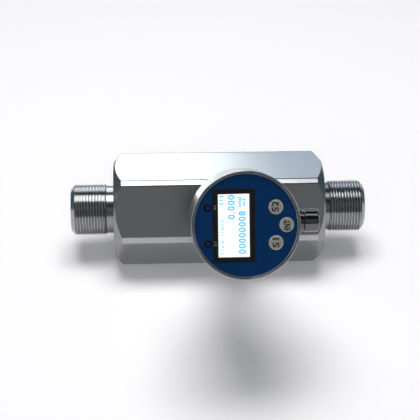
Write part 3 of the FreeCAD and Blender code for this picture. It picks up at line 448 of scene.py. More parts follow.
def lathe_rings(tree, axis_place, rings):
    """Distance from a turned piece's axis and height along it, so that a noise becomes rings."""
    back = axis_place.inverted()
    place = add_node(tree, "ShaderNodeTexCoord")
    turn = add_node(tree, "ShaderNodeMapping", {"Location": back.to_translation(), "Rotation": back.to_euler()})
    parts = add_node(tree, "ShaderNodeSeparateXYZ")
    across = add_node(tree, "ShaderNodeCombineXYZ")
    radius = add_node(tree, "ShaderNodeVectorMath", operation="LENGTH")
    pair = add_node(tree, "ShaderNodeCombineXYZ")
    dense = add_node(tree, "ShaderNodeVectorMath", {"Scale": rings}, operation="SCALE")
    link = tree.links.new
    link(place.outputs["Object"], turn.inputs["Vector"])
    link(turn.outputs["Vector"], parts.inputs["Vector"])
    link(parts.outputs["X"], across.inputs["X"])
    link(parts.outputs["Y"], across.inputs["Y"])
    link(across.outputs["Vector"], radius.inputs[0])
    link(radius.outputs["Value"], pair.inputs["X"])
    link(parts.outputs["Z"], pair.inputs["Y"])
    link(pair.outputs["Vector"], dense.inputs[0])
    return dense.outputs["Vector"]


def metal(name, color, roughness, spread, stretch=None, axis_place=None, rings=3000.0, bump=0.01):
    """Bare metal whose grain runs in long lines, or in rings where the piece was turned about an axis."""
    material, tree, shader = new_material(name, {"Base Color": (*color, 1), "Metallic": 1.0})
    grain = add_node(tree, "ShaderNodeTexNoise", {"Scale": 1.0, "Detail": 3.0})
    spread_node = add_node(tree, "ShaderNodeMapRange", {
        "From Min": 0.25, "From Max": 0.75, "To Min": roughness - spread, "To Max": roughness + spread,
    })
    relief = add_node(tree, "ShaderNodeBump", {"Strength": bump, "Distance": 0.0002})
    link = tree.links.new
    link(lathe_rings(tree, axis_place, rings) if axis_place else long_lines(tree, stretch), grain.inputs["Vector"])
    link(grain.outputs["Fac"], spread_node.inputs["Value"])
    link(spread_node.outputs["Result"], shader.inputs["Roughness"])
    link(grain.outputs["Fac"], relief.inputs["Height"])
    link(relief.outputs["Normal"], shader.inputs["Normal"])
    return material


# %% [markdown]
# ## The metals
#
# The bar is drawn stock, the threads and ends are freshly cut, and the head is finer turned. The threads and ends are
# darker copies of the bar's steel, a painted shade that dims what they mirror. Their tones were set beside the
# photograph, under these panels.

# %% List of metals
drawn_steel = metal("drawn_steel", (0.40, 0.405, 0.41), 0.23, 0.02, stretch=(50, 5200, 5200), bump=0.006)
# Threads and turned ends: darker copies of the bar's steel, and their darkness is painted shade.
shade_darkened_thread_steel = metal("shade_darkened_thread_steel", (0.35, 0.355, 0.36), 0.15, 0.02, axis_place=ON_PIPE, bump=0.004)
shade_darkened_end_steel = metal("shade_darkened_end_steel", (0.27, 0.27, 0.27), 0.20, 0.03, axis_place=ON_PIPE)
turned_steel = metal("turned_steel", (0.42, 0.42, 0.42), 0.22, 0.04, axis_place=ON_STEM)
satin_metal = metal("satin_metal", (0.37, 0.385, 0.40), 0.15, 0.03, axis_place=ON_STEM, rings=4500.0)
bright_metal = metal("bright_metal", (0.50, 0.50, 0.49), 0.18, 0.03, axis_place=ON_STEM)
blade_steel = metal("blade_steel", (0.62, 0.63, 0.64), 0.20, 0.04, stretch=(900, 900, 900))
# Nickel darkened well below real plating: its dark tone is painted shade.
shade_darkened_nickel = metal("shade_darkened_nickel", (0.14, 0.14, 0.145), 0.09, 0.02, stretch=(800, 1600, 1600), bump=0.003)
gold_flash = metal("gold_flash", (0.85, 0.62, 0.24), 0.18, 0.04, stretch=(900, 900, 900))
bronze = metal("bronze", (0.50, 0.34, 0.18), 0.30, 0.06, stretch=(1500, 1500, 1500))
copper = metal("copper_wire", (0.62, 0.26, 0.12), 0.30, 0.08, stretch=(4000, 400, 400))
print("metals ready")

# %% [markdown]
# ## Plastic, rubber and board finishes
#
# Moulded plastic is one colour with a fine tooth. A slow noise shifts the colour a little, as light wear
# and dust do, and a fine one makes the tooth.

# %% Plastics
def drifting_colour(tree, socket, scale, low, high, detail=2.0, start=0.0, end=1.0):
    """Feed a socket a colour that drifts between two tones. Gives back the Object coordinates it reads."""
    place = add_node(tree, "ShaderNodeTexCoord").outputs["Object"]
    drift = add_node(tree, "ShaderNodeTexNoise", {"Scale": scale, "Detail": detail})
    tint = add_node(tree, "ShaderNodeValToRGB")
    for element, position, tone in zip(tint.color_ramp.elements, (start, end), (low, high)):
        element.position = position
        element.color = (*tone, 1)
    tree.links.new(place, drift.inputs["Vector"])
    tree.links.new(drift.outputs["Fac"], tint.inputs["Fac"])
    tree.links.new(tint.outputs["Color"], socket)
    return place


def moulded_material(name, color, roughness, shift=0.08, tooth=2500.0, bump=0.05, shine=0.5):
    """Moulded material whose colour drifts a little and whose surface has a fine tooth."""
    material, tree, shader = new_material(name, {"Roughness": roughness, "Specular IOR Level": shine})
    low = [channel * (1.0 - shift) for channel in color]
    high = [min(channel * (1.0 + shift), 1.0) for channel in color]
    place = drifting_colour(tree, shader.inputs["Base Color"], 60.0, low, high, detail=4.0, start=0.3, end=0.7)
    fine = add_node(tree, "ShaderNodeTexNoise", {"Scale": tooth})
    relief = add_node(tree, "ShaderNodeBump", {"Strength": bump, "Distance": 0.0001})
    tree.links.new(place, fine.inputs["Vector"])
    tree.links.new(fine.outputs["Fac"], relief.inputs["Height"])
    tree.links.new(relief.outputs["Normal"], shader.inputs["Normal"])
    return material


def lit_material(name, color, strength):
    """A surface that glows evenly from behind, as a lit display does."""
    unlit = (*[channel * 0.2 for channel in color], 1)
    material, tree, shader = new_material(name, {
        "Base Color": unlit, "Roughness": 0.4, "Emission Strength": strength,
    })
    drifting_colour(tree, shader.inputs["Emission Color"], 120.0, [channel * 0.97 for channel in color], color)
    return material


# %% [markdown]
# ## The plastics
#
# The face, keys and lamps have the tones of the photograph. The display glows at a strength of about one,
# so its colours show as they are written.

# %% List of plastics
face_blue = moulded_material("face_blue", (0.0010, 0.0262, 0.099), 0.5, shift=0.05, shine=0.05)
frame_black = moulded_material("frame_black", (0.0072, 0.0068, 0.0055), 0.45, shine=0.15)
ring_black = moulded_material("ring_black", (0.006, 0.004, 0.004), 0.5, shine=0.1)
key_grey = moulded_material("key_grey", (0.258, 0.254, 0.235), 0.5, shine=0.3)
# Lighter tone for the keys' rounded rim: a painted highlight.
key_rim_highlight = moulded_material("key_rim_highlight", (0.36, 0.355, 0.33), 0.5, shine=0.3)
key_ink = moulded_material("key_ink", (0.008, 0.008, 0.008), 0.6, shine=0.1)
mark_grey = moulded_material("mark_grey", (0.22, 0.22, 0.19), 0.6, shine=0.1)
lens_blue = moulded_material("lens_blue", (0.002, 0.036, 0.145), 0.3, shine=0.15)
black_plastic = moulded_material("black_plastic", (0.02, 0.02, 0.022), 0.45)
board_green = moulded_material("board_green", (0.01, 0.10, 0.04), 0.4)
resin_brown = moulded_material("resin_brown", (0.06, 0.035, 0.02), 0.3)
rubber_black = moulded_material("rubber_black", (0.015, 0.015, 0.015), 0.75, tooth=1800.0, bump=0.1)
screen_white = lit_material("screen_white", (0.96, 0.99, 1.0), 1.0)
digit_blue = lit_material("digit_blue", (0.04, 0.52, 0.84), 0.95)
faint_blue = lit_material("faint_blue", (0.20, 0.66, 0.70), 0.95)
print("plastics ready")

# %% [markdown]
# ## The hexagonal bar
#
# The bar starts as a six-sided cylinder. Its six long edges get a narrow facet, and a turned cone meets
# the flats at both ends, which leaves the arched edges that a lathe leaves on a hexagon.

# %% Hexagonal bar
bar_length = 146.0
across_flats = (bar_high.z - bar_low.z) / MM
overall = (bar_high.x - bar_low.x) / MM
end_radius = 33.6
facet_leg = 2.43
facet_round = 0.8
corner_radius = across_flats / math.sqrt(3)


def runs_along(edge):
    """One of the bar's long edges."""
    return abs(edge.verts[1].co.z - edge.verts[0].co.z) > bar_length / 2 * MM


bar = rod("bar", corner_radius, -bar_length / 2 - 2, bar_length / 2 + 2, sides=6)
for offset, segments in ((facet_leg, 1), (facet_round, 4)):
    start_edit(bar, "EDGE", runs_along)
    bpy.ops.mesh.bevel(offset=offset * MM, segments=segments)
    end_edit()
beyond = across_flats - end_radius
cone = turned("end_cones", [
    (0, -bar_length / 2), (end_radius, -bar_length / 2), (across_flats, -bar_length / 2 + beyond),
    (across_flats, bar_length / 2 - beyond), (end_radius, bar_length / 2), (0, bar_length / 2),
], steps=192)
stand_turned(cone, 0.4)
cut(bar, cone, "INTERSECT")
print("bar faces", len(bar.data.polygons), "open", open_edges(bar))

# %% [markdown]
# ## A real helical thread
#
# A thread is a ridge wound round a plain core. The screw modifier sweeps the ridge's section round the
# axis while it climbs by one pitch a turn. Its crest is rounded, as rolling leaves it, and it starts a
# little inside the core, so the two join well. The wound ridge is longer than needed: an outline with the
# lead-in chamfer trims it.

# %% Threaded ends
pitch = 2.0
crest_radius = 18.0
tooth_depth = 0.9
sunk = 0.15
neck_length = 5.4
neck_radius = 16.7
lead_in = 3.0
flank_lean = math.radians(32)
crest_round = 0.28
crest_flat = 0.32
runout = 0.65
overlap = 1.3
root_radius = crest_radius - tooth_depth
end_half = overall / 2
neck_end = -(bar_length / 2 + neck_length)
ridge_turns = math.ceil((end_half + neck_end) / pitch) + 2


def wound_ridge():
    """The thread's ridge: a closed section swept by the screw modifier, with both ends filled."""
    climb = tooth_depth + sunk - crest_round * (1 - math.sin(flank_lean))
    middle = climb * math.tan(flank_lean) + crest_round * math.cos(flank_lean)
    half = [(root_radius - sunk, 0)]
    for step in range(4):
        tilt = (math.radians(90) - flank_lean) * (3 - step) / 3
        half.append((crest_radius - crest_round * (1 - math.cos(tilt)), middle - crest_round * math.sin(tilt)))
    width = 2 * middle + crest_flat
    other = [(radius, width - height) for radius, height in reversed(half)]
    ridge = outline_mesh("ridge", half + other + half[:1])
    bpy.ops.mesh.select_all(action="SELECT")
    bpy.ops.mesh.remove_doubles(threshold=0.0005 * MM)
    bpy.ops.transform.translate(value=(0, 0, -(end_half + pitch) * MM))
    end_edit()
    apply_modifier(ridge, "SCREW", axis="Z", angle=FULL_TURN, screw_offset=pitch * MM, iterations=ridge_turns,
                   steps=120, render_steps=120)
    take(ridge)
    bpy.ops.object.mode_set(mode="EDIT")
    bpy.ops.mesh.select_mode(type="EDGE")
    bpy.ops.mesh.select_all(action="DESELECT")
    bpy.ops.mesh.select_non_manifold(extend=False)
    bpy.ops.mesh.edge_face_add()
    bpy.ops.mesh.select_all(action="SELECT")
    bpy.ops.mesh.normals_make_consistent(inside=False)
    end_edit()
    print("wound ridge open edges", open_edges(ridge))
    return ridge


ridge = wound_ridge()
trim = turned("thread_trim", [
    (0, -end_half), (crest_radius - lead_in, -end_half), (crest_radius + 1, -end_half + lead_in + 1),
    (crest_radius + 1, neck_end - 1.5), (root_radius - 0.8, neck_end + runout), (0, neck_end + runout),
], steps=144)
stand_turned(trim, 0.7)
cut(ridge, trim, "INTERSECT")
inlet_end = turned("inlet_end", [
    (0, -end_half), (crest_radius - lead_in, -end_half),
    (root_radius, root_radius - crest_radius + lead_in - end_half), (root_radius, neck_end - 0.2),
    (neck_radius, neck_end), (neck_radius, overlap - bar_length / 2), (0, overlap - bar_length / 2),
], steps=144)
cut(inlet_end, ridge, "UNION")
print("threaded end faces", len(inlet_end.data.polygons), "open", open_edges(inlet_end))

# %% [markdown]
# ## The other end
#
# Turning a copy end for end keeps it a right-hand thread. A mirror would make it left-handed.

# %% Outlet end
outlet_end = inlet_end.copy()
outlet_end.data = inlet_end.data.copy()
scene.collection.objects.link(outlet_end)
stand(outlet_end, Matrix.Rotation(math.radians(180), 4, "X"))
print("outlet end from z", round(min(vertex.co.z for vertex in outlet_end.data.vertices) / MM, 2), "mm")

# %% [markdown]
# ## Joining and boring the body
#
# The two ends are joined to the bar. Then one long tool, turned to the bore's own section, is cut away:
# sealing cones, tube sockets, seats, ring grooves and the narrow throat around the rotor.

# %% Body
seat_radius = 12.0
throat_radius = 11.5
throat_half = 12.5
socket_radius = 12.6
socket_depth = 14.0
mouth_radius = 13.95
cone_length = 6.35
groove_radius = 12.95
ring_play = 0.05
rotor_place = pickup_x / MM
inlet_ring, outlet_ring = [
    [corner.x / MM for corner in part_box(node)] for node in ("inlet_retaining_ring", "outlet_retaining_ring")
]

flare = mouth_radius + (mouth_radius - socket_radius) / cone_length
bore_outline = [(0, -end_half - 1), (flare, -end_half - 1), (socket_radius, cone_length - end_half),
                (socket_radius, socket_depth - end_half), (seat_radius, socket_depth - end_half)]
for low, high, radius in (
        (inlet_ring[0] - ring_play, inlet_ring[1] + ring_play, groove_radius),
        (rotor_place - throat_half, rotor_place + throat_half, throat_radius),
        (outlet_ring[0] - ring_play, outlet_ring[1] + ring_play, groove_radius)):
    bore_outline += [(seat_radius, low), (radius, low), (radius, high), (seat_radius, high)]
bore_outline += [(seat_radius, end_half - socket_depth), (socket_radius, end_half - socket_depth),
                 (socket_radius, end_half - cone_length), (flare, end_half + 1), (0, end_half + 1)]
bore_tool = turned("bore_tool", bore_outline, steps=96)
stand_turned(bore_tool, 1.1)
cut(bar, inlet_end, "UNION")
cut(bar, outlet_end, "UNION")
cut(bar, bore_tool)
stand(bar, ON_PIPE)

well_radius = 6.15
well_floor = 13.4
foot_hole = 12.0
well = turned("well_tool", [
    (0, well_floor), (well_radius, well_floor), (well_radius, across_flats / 2 - foot_hole),
    (foot_hole, across_flats / 2 - foot_hole), (foot_hole, across_flats / 2 + 1), (0, across_flats / 2 + 1),
], steps=64)
stand_turned(well, 0.6, ON_STEM)
cut(bar, well)
heal(bar)
polish(bar, 28)
hand_over(bar, "bar_body", "root", "body_steel", drawn_steel, "meter_body")


def is_turned(face):
    """Not one of the long flats or facets: they face away from the axis and lie far from it."""
    spot = face.calc_center_median()
    return abs(face.normal.x) > 0.05 or math.hypot(spot.y, spot.z - axis_height) < end_radius * 0.9 * MM


# The turned faces and the threads get the darker steel copies, which are painted shade.
finish_faces(bar, shade_darkened_end_steel, is_turned)
finish_faces(bar, shade_darkened_thread_steel, lambda face: abs(face.calc_center_median().x) > -neck_end * MM)

# %% [markdown]
# ## The stem
#
# The head stands on a short turned post with a hexagonal foot for a spanner. Only its sides show, under
# the head. The foot's corners are chamfered as a nut's are, by a cone.

# %% Stem
stem_low, stem_high = measured("display_stem")
foot_across = 34.0
foot_low = across_flats / 2
foot_high = foot_low + 8.0
stem_radius = 14.0
stem_bore = 6.35
spigot_radius = 11.95
groove_floor = 10.7
foot_core = 13.2
shoulder = 81.7
swivel_radius = 12.0
clip_low, clip_high = [corner.z for corner in measured("swivel_clip")]
seal_low, seal_high = [corner.z for corner in measured("swivel_seal")]
clip_groove = swivel_radius - 1.0

stem = turned("stem", [
    (stem_bore, stem_low.z), (11.4, stem_low.z), (spigot_radius, stem_low.z + 0.55), (spigot_radius, foot_low - 3),
    (groove_floor, foot_low - 3), (groove_floor, foot_low + 0.3), (foot_core, foot_low + 0.3),
    (foot_core, foot_high - 0.4), (stem_radius, foot_high - 0.4), (stem_radius, shoulder - 0.5),
    (stem_radius - 0.5, shoulder), (swivel_radius, shoulder), (swivel_radius, seal_low - 0.35),
    (groove_floor, seal_low - 0.35), (groove_floor, seal_high + 0.35), (swivel_radius, seal_high + 0.35),
    (swivel_radius, clip_low - 0.1), (clip_groove, clip_low - 0.1),
    (clip_groove, clip_high + 0.1), (swivel_radius, clip_high + 0.1),
    (swivel_radius, stem_high.z - 0.4), (swivel_radius - 0.4, stem_high.z), (stem_bore, stem_high.z),
], steps=96)
foot = rod("foot", foot_across / math.sqrt(3), foot_low, foot_high, sides=6)
foot_edge = foot_across / 2 * 1.01
cone_slope = 0.577
dome_radius = 24.0
dome_bore = 11.1
dome = turned("foot_dome", [
    (dome_bore, foot_low - 1), (dome_radius, foot_low - 1),
    (dome_radius, foot_high - (dome_radius - foot_edge) * cone_slope),
    (foot_edge - 1 / cone_slope, foot_high + 1), (dome_bore, foot_high + 1),
], steps=96)
cut(foot, dome, "INTERSECT")
cut(stem, foot, "UNION")
complete(stem, ON_STEM, "stem_post", "root", "turned_steel", turned_steel, "display_stem")

# %% [markdown]
# ## The round housing
#
# The housing is a deep turned can that tapers a little towards its back. A flat boss on its side carries the
# connector, and a collar at its back turns on the stem's neck. The rim is softened so that it draws a thin
# bright line, and its inner edge is chamfered, which leaves a fine dark groove around the bezel.

# %% Head housing
head_low, head_high = measured("head_housing")
head_radius = -head_low.x
head_front = head_high.z
collar_start = head_low.z
collar_length = 10.0
head_rear = collar_start + collar_length
boss_face = head_high.x
rear_radius = 29.6
taper_end = 118.0
inner_radius = head_radius - 2.2
recess_radius = head_radius - 1.0
recess_floor = head_front - 6.0
back_wall = 4.0
collar_radius = 16.0
collar_bore = swivel_radius + 0.05
sleeve_length = 10.0
boss_root = 30.6
boss_radius = 8.0
plug_low, plug_high = measured("connector_shell")
plug_height = (plug_low.z + plug_high.z) / 2

housing = turned("housing", [
    (collar_bore, collar_start + 0.4), (collar_bore + 0.4, collar_start), (collar_radius - 0.6, collar_start),
    (collar_radius, collar_start + 0.6), (collar_radius, head_rear),
    (rear_radius - 1.6, head_rear), (rear_radius - 0.7, head_rear + 0.25), (rear_radius - 0.2, head_rear + 0.75),
    (rear_radius, head_rear + 1.6), (head_radius - 0.15, taper_end - 1.4), (head_radius, taper_end),
    (head_radius, head_front - 0.6), (head_radius - 0.18, head_front - 0.18),
    (head_radius - 0.5, head_front), (recess_radius + 0.22, head_front), (recess_radius, head_front - 0.3),
    (recess_radius, recess_floor), (inner_radius, recess_floor), (inner_radius, taper_end),
    (rear_radius - 2.2, head_rear + back_wall), (collar_radius, head_rear + back_wall),
    (collar_radius, head_rear + sleeve_length), (collar_bore, head_rear + sleeve_length),
], steps=160)
SIDEWAYS = Matrix.Translation((0, 0, plug_height * MM)) @ Matrix.Rotation(math.radians(90), 4, "Y")
boss = turned("boss", [
    (0, boss_root), (boss_radius, boss_root), (boss_radius, boss_face - 0.3), (boss_radius - 0.3, boss_face),
    (0, boss_face),
], steps=64)
stand(boss, SIDEWAYS)
cut(housing, boss, "UNION")
hole = rod("plug_hole", 6.1, 21.0, boss_face + 1, sides=64)
stand(hole, SIDEWAYS)
cut(housing, hole)
screw_place = Matrix.Translation((0, 0, (collar_start + 5) * MM)) @ Matrix.Rotation(math.radians(90), 4, "Y")
screw_hole = rod("screw_hole", 2.0, swivel_radius - 1, collar_radius + 1, sides=32)
stand(screw_hole, screw_place)
cut(housing, screw_hole)
heal(housing)
complete(housing, ON_STEM, "round_housing", "head", "housing_metal", satin_metal, "head_housing")

# %% [markdown]
# ## Bezel
#
# A thin bright ring holds the face in the rim. It is turned, with a small lip over the face.

# %% Bezel
bezel_low, bezel_high = measured("bezel_ring")
lip_inside = 30.15
face_low, face_high = measured("face_plate")
bezel = turned("bezel", [
    (face_high.x + 0.1, bezel_low.z), (bezel_high.x, bezel_low.z), (bezel_high.x, bezel_high.z - 0.4),
    (bezel_high.x - 0.3, bezel_high.z), (lip_inside + 0.25, bezel_high.z), (lip_inside, bezel_high.z - 0.3),
    (lip_inside, face_high.z), (face_high.x + 0.1, face_high.z),
], steps=160)
complete(bezel, ON_STEM, "bright_bezel", "head", "bezel_metal", bright_metal, "bezel_ring")

# %% [markdown]
# ## Blue face
#
# The face is a dark blue plate with openings for the display, the lamps and the keys. The openings are
# cut, then every edge is softened a little.

# %% Blue face
frame_low, frame_high = measured("display_frame")
key_names = ("upper", "enter", "lower")
lamp_names = ("upper", "lower")


def centre_of(node):
    low, high = measured(node)
    return (low.x + high.x) / 2, (low.y + high.y) / 2


key_spots = {name: centre_of(f"key_{name}") for name in key_names}
lamp_spots = {name: centre_of(f"lamp_ring_{name}") for name in lamp_names}
key_radius = 4.32
key_hole = 4.72
lamp_radius = 2.45

plate = rod("plate", face_high.x, face_low.z, face_high.z, sides=160)
opening_x = (frame_low.x + frame_high.x) / 2
opening_y = (frame_low.y + frame_high.y) / 2
opening = block("opening", frame_high.x - frame_low.x + 0.2, frame_high.y - frame_low.y + 0.2,
                face_low.z - 1, face_high.z + 1, opening_x, opening_y)
cut(plate, opening)
for x, y in key_spots.values():
    cut(plate, rod("key_hole", key_hole, face_low.z - 1, face_high.z + 1, x, y))
for x, y in lamp_spots.values():
    cut(plate, rod("lamp_hole", lamp_radius + 0.05, face_low.z - 1, face_high.z + 1, x, y, sides=48))
soften(plate, 0.12, segments=2)
complete(plate, ON_STEM, "blue_face", "head", "face_blue", face_blue, "face_plate")

# %% [markdown]
# ## The display
#
# A black frame stands a little proud of the face and drops steeply to a white lit panel. The frame is a box
# whose front is inset twice: once for the flat band, and once, lowered, for the drop. The panel glows,
# because a lit display is as bright in the shade as in the light.

# %% Display frame
glass_low, glass_high = measured("display_window")
glass_width = glass_high.x - glass_low.x
glass_height = glass_high.y - glass_low.y
outer_width = frame_high.x - frame_low.x
outer_height = frame_high.y - frame_low.y
inner_ledge = 0.2
drop_width = 0.4

surround = block("surround", outer_width, outer_height, frame_low.z, frame_high.z, opening_x, opening_y)
start_edit(surround, "FACE", lambda face: face.normal.z > 0.9)
band = (outer_width - glass_width) / 2 + inner_ledge - drop_width
bpy.ops.mesh.inset(thickness=band * MM)
bpy.ops.mesh.inset(thickness=drop_width * MM, depth=-1.0 * MM)
end_edit()
window_hole = block("window_hole", glass_width - 2 * inner_ledge, glass_height - 2 * inner_ledge,
                    frame_low.z - 1, frame_high.z + 1, opening_x, opening_y)
cut(surround, window_hole)
soften(surround, 0.15, segments=2, angle=60)
complete(surround, ON_STEM, "black_surround", "head", "frame_black", frame_black, "display_frame")

# %% [markdown]
# ## Lit panel
#
# The panel under the window glows white. It is a plain block with fine soft edges.

# %% Panel
panel_low, panel_high = measured("display_panel")
panel = block("panel", panel_high.x - panel_low.x, panel_high.y - panel_low.y, panel_low.z, panel_high.z,
              opening_x, opening_y)
soften(panel, 0.1, segments=2, angle=60)
complete(panel, ON_STEM, "lit_panel", "head", "display_white", screen_white, "display_panel")


# %% [markdown]
# ## Figures on the panel
#
# The panel carries a flow reading, a running total with its unit, and two faint captions, all read from
# below upwards. Text is added as type, its strokes are made bolder, it becomes a mesh and is fitted to the
# length and height that it has in the photograph. Two tiny marks name the lamps beside the panel.

# %% Figures
def lay_text(name, body, words, x, y, length, height, material, slot, level, weight=0.0, spread=1.1, thick=0.02):
    """Type laid on the head, read from below upwards, fitted to a length and a height in millimetres."""
    deselect()
    bpy.ops.object.text_add(location=(0, 0, 0))
    text = bpy.context.object
    text.data.body = words
    text.data.size = height / 0.72 * MM
    text.data.offset = weight * MM
    text.data.extrude = thick * MM
    text.data.resolution_u = 3
    text.data.space_character = spread
    bpy.ops.object.convert(target="MESH")
    piece = bpy.context.object
    take(piece)
    bpy.ops.object.mode_set(mode="EDIT")
    bpy.ops.mesh.select_all(action="SELECT")
    bpy.ops.mesh.remove_doubles(threshold=0.001 * MM)
    end_edit()
    spots = [vertex.co for vertex in piece.data.vertices]
    middle = [(min(spot[axis] for spot in spots) + max(spot[axis] for spot in spots)) / 2 for axis in (0, 1)]
    stand(piece, Matrix.Translation((-middle[0], -middle[1], 0)))
    width, tall = piece.dimensions.x, piece.dimensions.y
    stand(piece, Matrix.Diagonal((length * MM / width, height * MM / tall, 1, 1)))
    quarter = Matrix.Translation((x * MM, y * MM, (level + thick) * MM)) @ Matrix.Rotation(math.radians(90), 4, "Z")
    stand(piece, ON_STEM @ quarter)
    hand_over(piece, name, body, slot, material)


figures = (  # name, words, place along x and y, length, height, colour, boldness, spacing
    ("reading_figures", "0.000", -8.55, 10.75, 14.3, 4.2, digit_blue, 0.16, 1.15),
    ("total_figures", "00000008", -2.25, -4.27, 25.2, 4.35, digit_blue, 0.16, 1.15),
    ("total_caption", "total", -3.75, 13.5, 6.3, 2.2, digit_blue, 0.13, 1.1),
    ("total_unit", "m3", -1.15, 13.5, 4.4, 2.0, digit_blue, 0.11, 1.1),
    ("flow_caption", "Flow l/min", -14.1, -6.75, 20.6, 2.2, faint_blue, 0.14, 1.7),
    ("channel_caption", "[1]", -14.2, 14.85, 5.4, 2.4, faint_blue, 0.15, 1.1),
)
for name, words, x, y, length, height, ink, weight, spread in figures:
    lay_text(name, "head", words, x, y, length, height, ink, "display_white", panel_high.z, weight, spread)
for name, words, y in (("upper_lamp_mark", "S2", 10.8), ("lower_lamp_mark", "S1", -10.6)):
    lay_text(name, "head", words, -18.2, y, 2.5, 1.3, mark_grey, "frame_black", frame_high.z, weight=0.03)

# %% [markdown]
# ## Clear window
#
# A thin clear plate lies over the panel. Its edges are softened so that they pick up a line of light.

# %% Window
clear, tree, shader = new_material("clear_window", {"Roughness": 0.03, "Transmission Weight": 1.0, "IOR": 1.3})
drifting_colour(tree, shader.inputs["Base Color"], 40.0, (0.97, 0.99, 1.0), (1.0, 1.0, 1.0))
window = block("window", glass_width, glass_height, glass_low.z + 0.1, glass_high.z, opening_x, opening_y)
soften(window, 0.08, segments=2, angle=60)
complete(window, ON_STEM, "clear_pane", "head", "window_glass", clear, "display_window")

# %% [markdown]
# ## Lamps
#
# Each lamp is a dark ring whose lip overlaps a small blue lens, slightly domed and set a little back.

# %% Lamps
ring_low, ring_high = measured("lamp_ring_upper")
lens_low, lens_high = measured("lamp_lens_upper")
lens_radius = 1.33
ring_inside = 1.15
for name, (x, y) in lamp_spots.items():
    at_lamp = ON_STEM @ Matrix.Translation((x * MM, y * MM, 0))
    ring = turned(f"ring_{name}", [
        (lens_radius + 0.02, ring_low.z), (lamp_radius, ring_low.z), (lamp_radius, ring_high.z - 0.3),
        (lamp_radius - 0.3, ring_high.z), (ring_inside + 0.2, ring_high.z), (ring_inside, ring_high.z - 0.15),
        (ring_inside, ring_high.z - 0.4), (lens_radius + 0.02, ring_high.z - 0.5),
    ], steps=48)
    complete(ring, at_lamp, f"dark_ring_{name}", "head", "lamp_rim", ring_black, f"lamp_ring_{name}")
    lens = turned(f"lens_{name}", [
        (0, lens_low.z), (lens_radius, lens_low.z), (lens_radius, lens_high.z - 0.55),
        (lens_radius * 0.8, lens_high.z - 0.42), (lens_radius * 0.45, lens_high.z - 0.32), (0, lens_high.z - 0.28),
    ], steps=48)
    complete(lens, at_lamp, f"blue_lens_{name}", "head", "lamp_plastic", lens_blue, f"lamp_lens_{name}", angle=40)

# %% [markdown]
# ## Keys
#
# The three keys are turned caps with a rounded edge, made lighter by a painted highlight, and a faint dish, in a fine
# dark gap. Their bold letters are printed, so they are thin type that rides with the key and sinks when it is
# pressed.

# %% Keys
key_prints = {  # words, shift along and across from the key's centre, length, height, weight
    "upper": ("S2", -0.4, 0.4, 6.2, 4.0, 0.1),
    "enter": ("ENT", 0.2, -0.3, 6.2, 3.7, 0.2),
    "lower": ("S1", -0.3, 0.0, 5.5, 4.0, 0.1),
}
edge_start = key_radius - 0.75
key_dish = 0.08
for name, (x, y) in key_spots.items():
    low, high = measured(f"key_{name}")
    flange = (high.x - low.x) / 2
    cap = turned(f"cap_{name}", [
        (0, low.z), (flange, low.z), (flange, low.z + 0.5), (key_radius, low.z + 0.5),
        (key_radius, high.z - 0.5), (key_radius - 0.08, high.z - 0.22), (key_radius - 0.3, high.z - 0.04),
        (key_radius - 0.5, high.z), (edge_start, high.z - 0.02), (edge_start - 0.1, high.z - 0.07),
        (0, high.z - key_dish),
    ], steps=72)
    complete(cap, ON_STEM @ Matrix.Translation((x * MM, y * MM, 0)), f"round_key_{name}", f"key_{name}",
             "key_plastic", key_grey, f"key_{name}", angle=40)
    top = ON_STEM @ Vector((x * MM, y * MM, high.z * MM))
    # The rim gets the lighter tone, which is a painted highlight.
    finish_faces(cap, key_rim_highlight, lambda face: (face.calc_center_median() - top).length > edge_start * MM)
    words, shift_x, shift_y, length, height, weight = key_prints[name]
    lay_text(f"key_letters_{name}", f"key_{name}", words, x + shift_x, y + shift_y, length, height, key_ink,
             "key_plastic", high.z - key_dish, weight=weight)

# %% [markdown]
# ## The cable connector
#
# A plated shell with a flange stands on the boss. Its dark tone is painted shade, far darker than plated nickel is.
# It is hollow, with five pins on a black insert, so it reads as a connector from the side too. Its free edge is well
# rounded and catches a bright curved line.

# %% Connector
shell_radius = 7.1
flange_radius = plug_high.z - plug_height
flange_end = 36.6
shell_end = plug_high.x
shell_inside = shell_radius - 1.6
tail_radius = 6.0
tail_bore = 4.2
gasket_low, gasket_high = measured("connector_gasket")
insert_low, insert_high = measured("connector_insert")
floor_height = insert_high.x - 1.2

shell = turned("shell", [
    (tail_bore, plug_low.x), (tail_radius - 0.3, plug_low.x), (tail_radius, plug_low.x + 0.3),
    (tail_radius, gasket_high.x), (flange_radius, gasket_high.x),
    (flange_radius, flange_end - 0.5), (flange_radius - 0.5, flange_end), (shell_radius - 0.7, flange_end),
    (shell_radius - 0.7, flange_end + 0.7), (shell_radius - 0.25, flange_end + 1.1), (shell_radius, flange_end + 1.4),
    (shell_radius, shell_end - 1.4), (shell_radius - 0.1, shell_end - 0.85), (shell_radius - 0.37, shell_end - 0.37),
    (shell_radius - 0.85, shell_end - 0.08), (shell_radius - 1.1, shell_end), (shell_inside + 0.2, shell_end),
    (shell_inside, shell_end - 0.25), (shell_inside, floor_height),
    (tail_bore, floor_height),
], steps=96)
complete(shell, ON_STEM @ SIDEWAYS, "plated_shell", "head", "connector_metal", shade_darkened_nickel, "connector_shell")

gasket = turned("gasket", [
    (tail_radius + 0.1, gasket_low.x), (flange_radius - 0.15, gasket_low.x), (flange_radius, gasket_low.x + 0.15),
    (flange_radius, gasket_high.x - 0.15), (flange_radius - 0.15, gasket_high.x), (tail_radius + 0.1, gasket_high.x),
], steps=96)
complete(gasket, ON_STEM @ SIDEWAYS, "plug_gasket", "head", "seal_rubber", rubber_black, "connector_gasket")

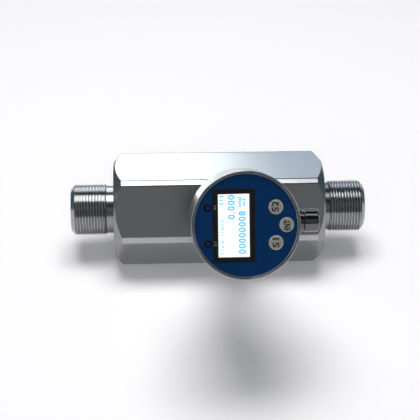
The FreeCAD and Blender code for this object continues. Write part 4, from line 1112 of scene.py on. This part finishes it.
insert = turned("insert", [
    (0, insert_low.x), (tail_bore - 0.02, insert_low.x), (tail_bore - 0.02, floor_height + 0.02),
    (shell_inside - 0.05, floor_height + 0.02), (shell_inside - 0.05, insert_high.x - 0.15),
    (shell_inside - 0.2, insert_high.x), (0, insert_high.x),
], steps=64)
complete(insert, ON_STEM @ SIDEWAYS, "plug_insert", "head", "black_plastic", black_plastic, "connector_insert")

pin_radius = 0.5
pin_low, pin_high = [corner.x for corner in measured("connector_pins")]
pin_circle = 2.5
pins = []
for across, along in [(0, 0)] + [(sx * pin_circle / math.sqrt(2), sy * pin_circle / math.sqrt(2))
                                 for sx in (-1, 1) for sy in (-1, 1)]:
    pin = turned("pin", [
        (0, pin_low), (pin_radius, pin_low), (pin_radius, pin_high - 0.4), (pin_radius * 0.6, pin_high - 0.1),
        (0, pin_high),
    ], steps=24)
    stand(pin, Matrix.Translation((across * MM, along * MM, 0)))
    pins.append(pin)
deselect()
for pin in pins:
    pin.select_set(True)
bpy.context.view_layer.objects.active = pins[0]
bpy.ops.object.join()
contacts = bpy.context.object
complete(contacts, ON_STEM @ SIDEWAYS, "plug_pins", "head", "pin_metal", gold_flash, "connector_pins", angle=40)

# %% [markdown]
# ## Finishes of what stays CAD
#
# Everything else keeps its CAD shape: the turbine, its supports and bearings, the pickup, the boards and
# the fasteners. Each gets the finish that its record slot names.

# %% CAD finishes
finishes = {
    "body_steel": drawn_steel, "turned_steel": turned_steel, "blade_steel": blade_steel,
    "spring_steel": turned_steel, "housing_metal": satin_metal, "bezel_metal": bright_metal,
    "connector_metal": shade_darkened_nickel, "pin_metal": gold_flash, "bearing_bronze": bronze, "winding_copper": copper,
    "magnet": turned_steel, "face_blue": face_blue, "carrier_plastic": black_plastic,
    "frame_black": frame_black, "display_white": screen_white, "window_glass": clear, "key_plastic": key_grey,
    "lamp_plastic": lens_blue, "lamp_rim": ring_black, "board_green": board_green,
    "black_plastic": black_plastic, "resin": resin_brown, "seal_rubber": rubber_black,
    "lead_rubber": rubber_black,
}
slot_of = {part["node"]: part["material_slot"] for part in frame["record"]["subparts"]}
for node, thing in frame["nodes"].items():
    for holder in thing.material_slots:
        holder.material = finishes[slot_of[node]]
print("finished", len(frame["nodes"]), "CAD nodes")
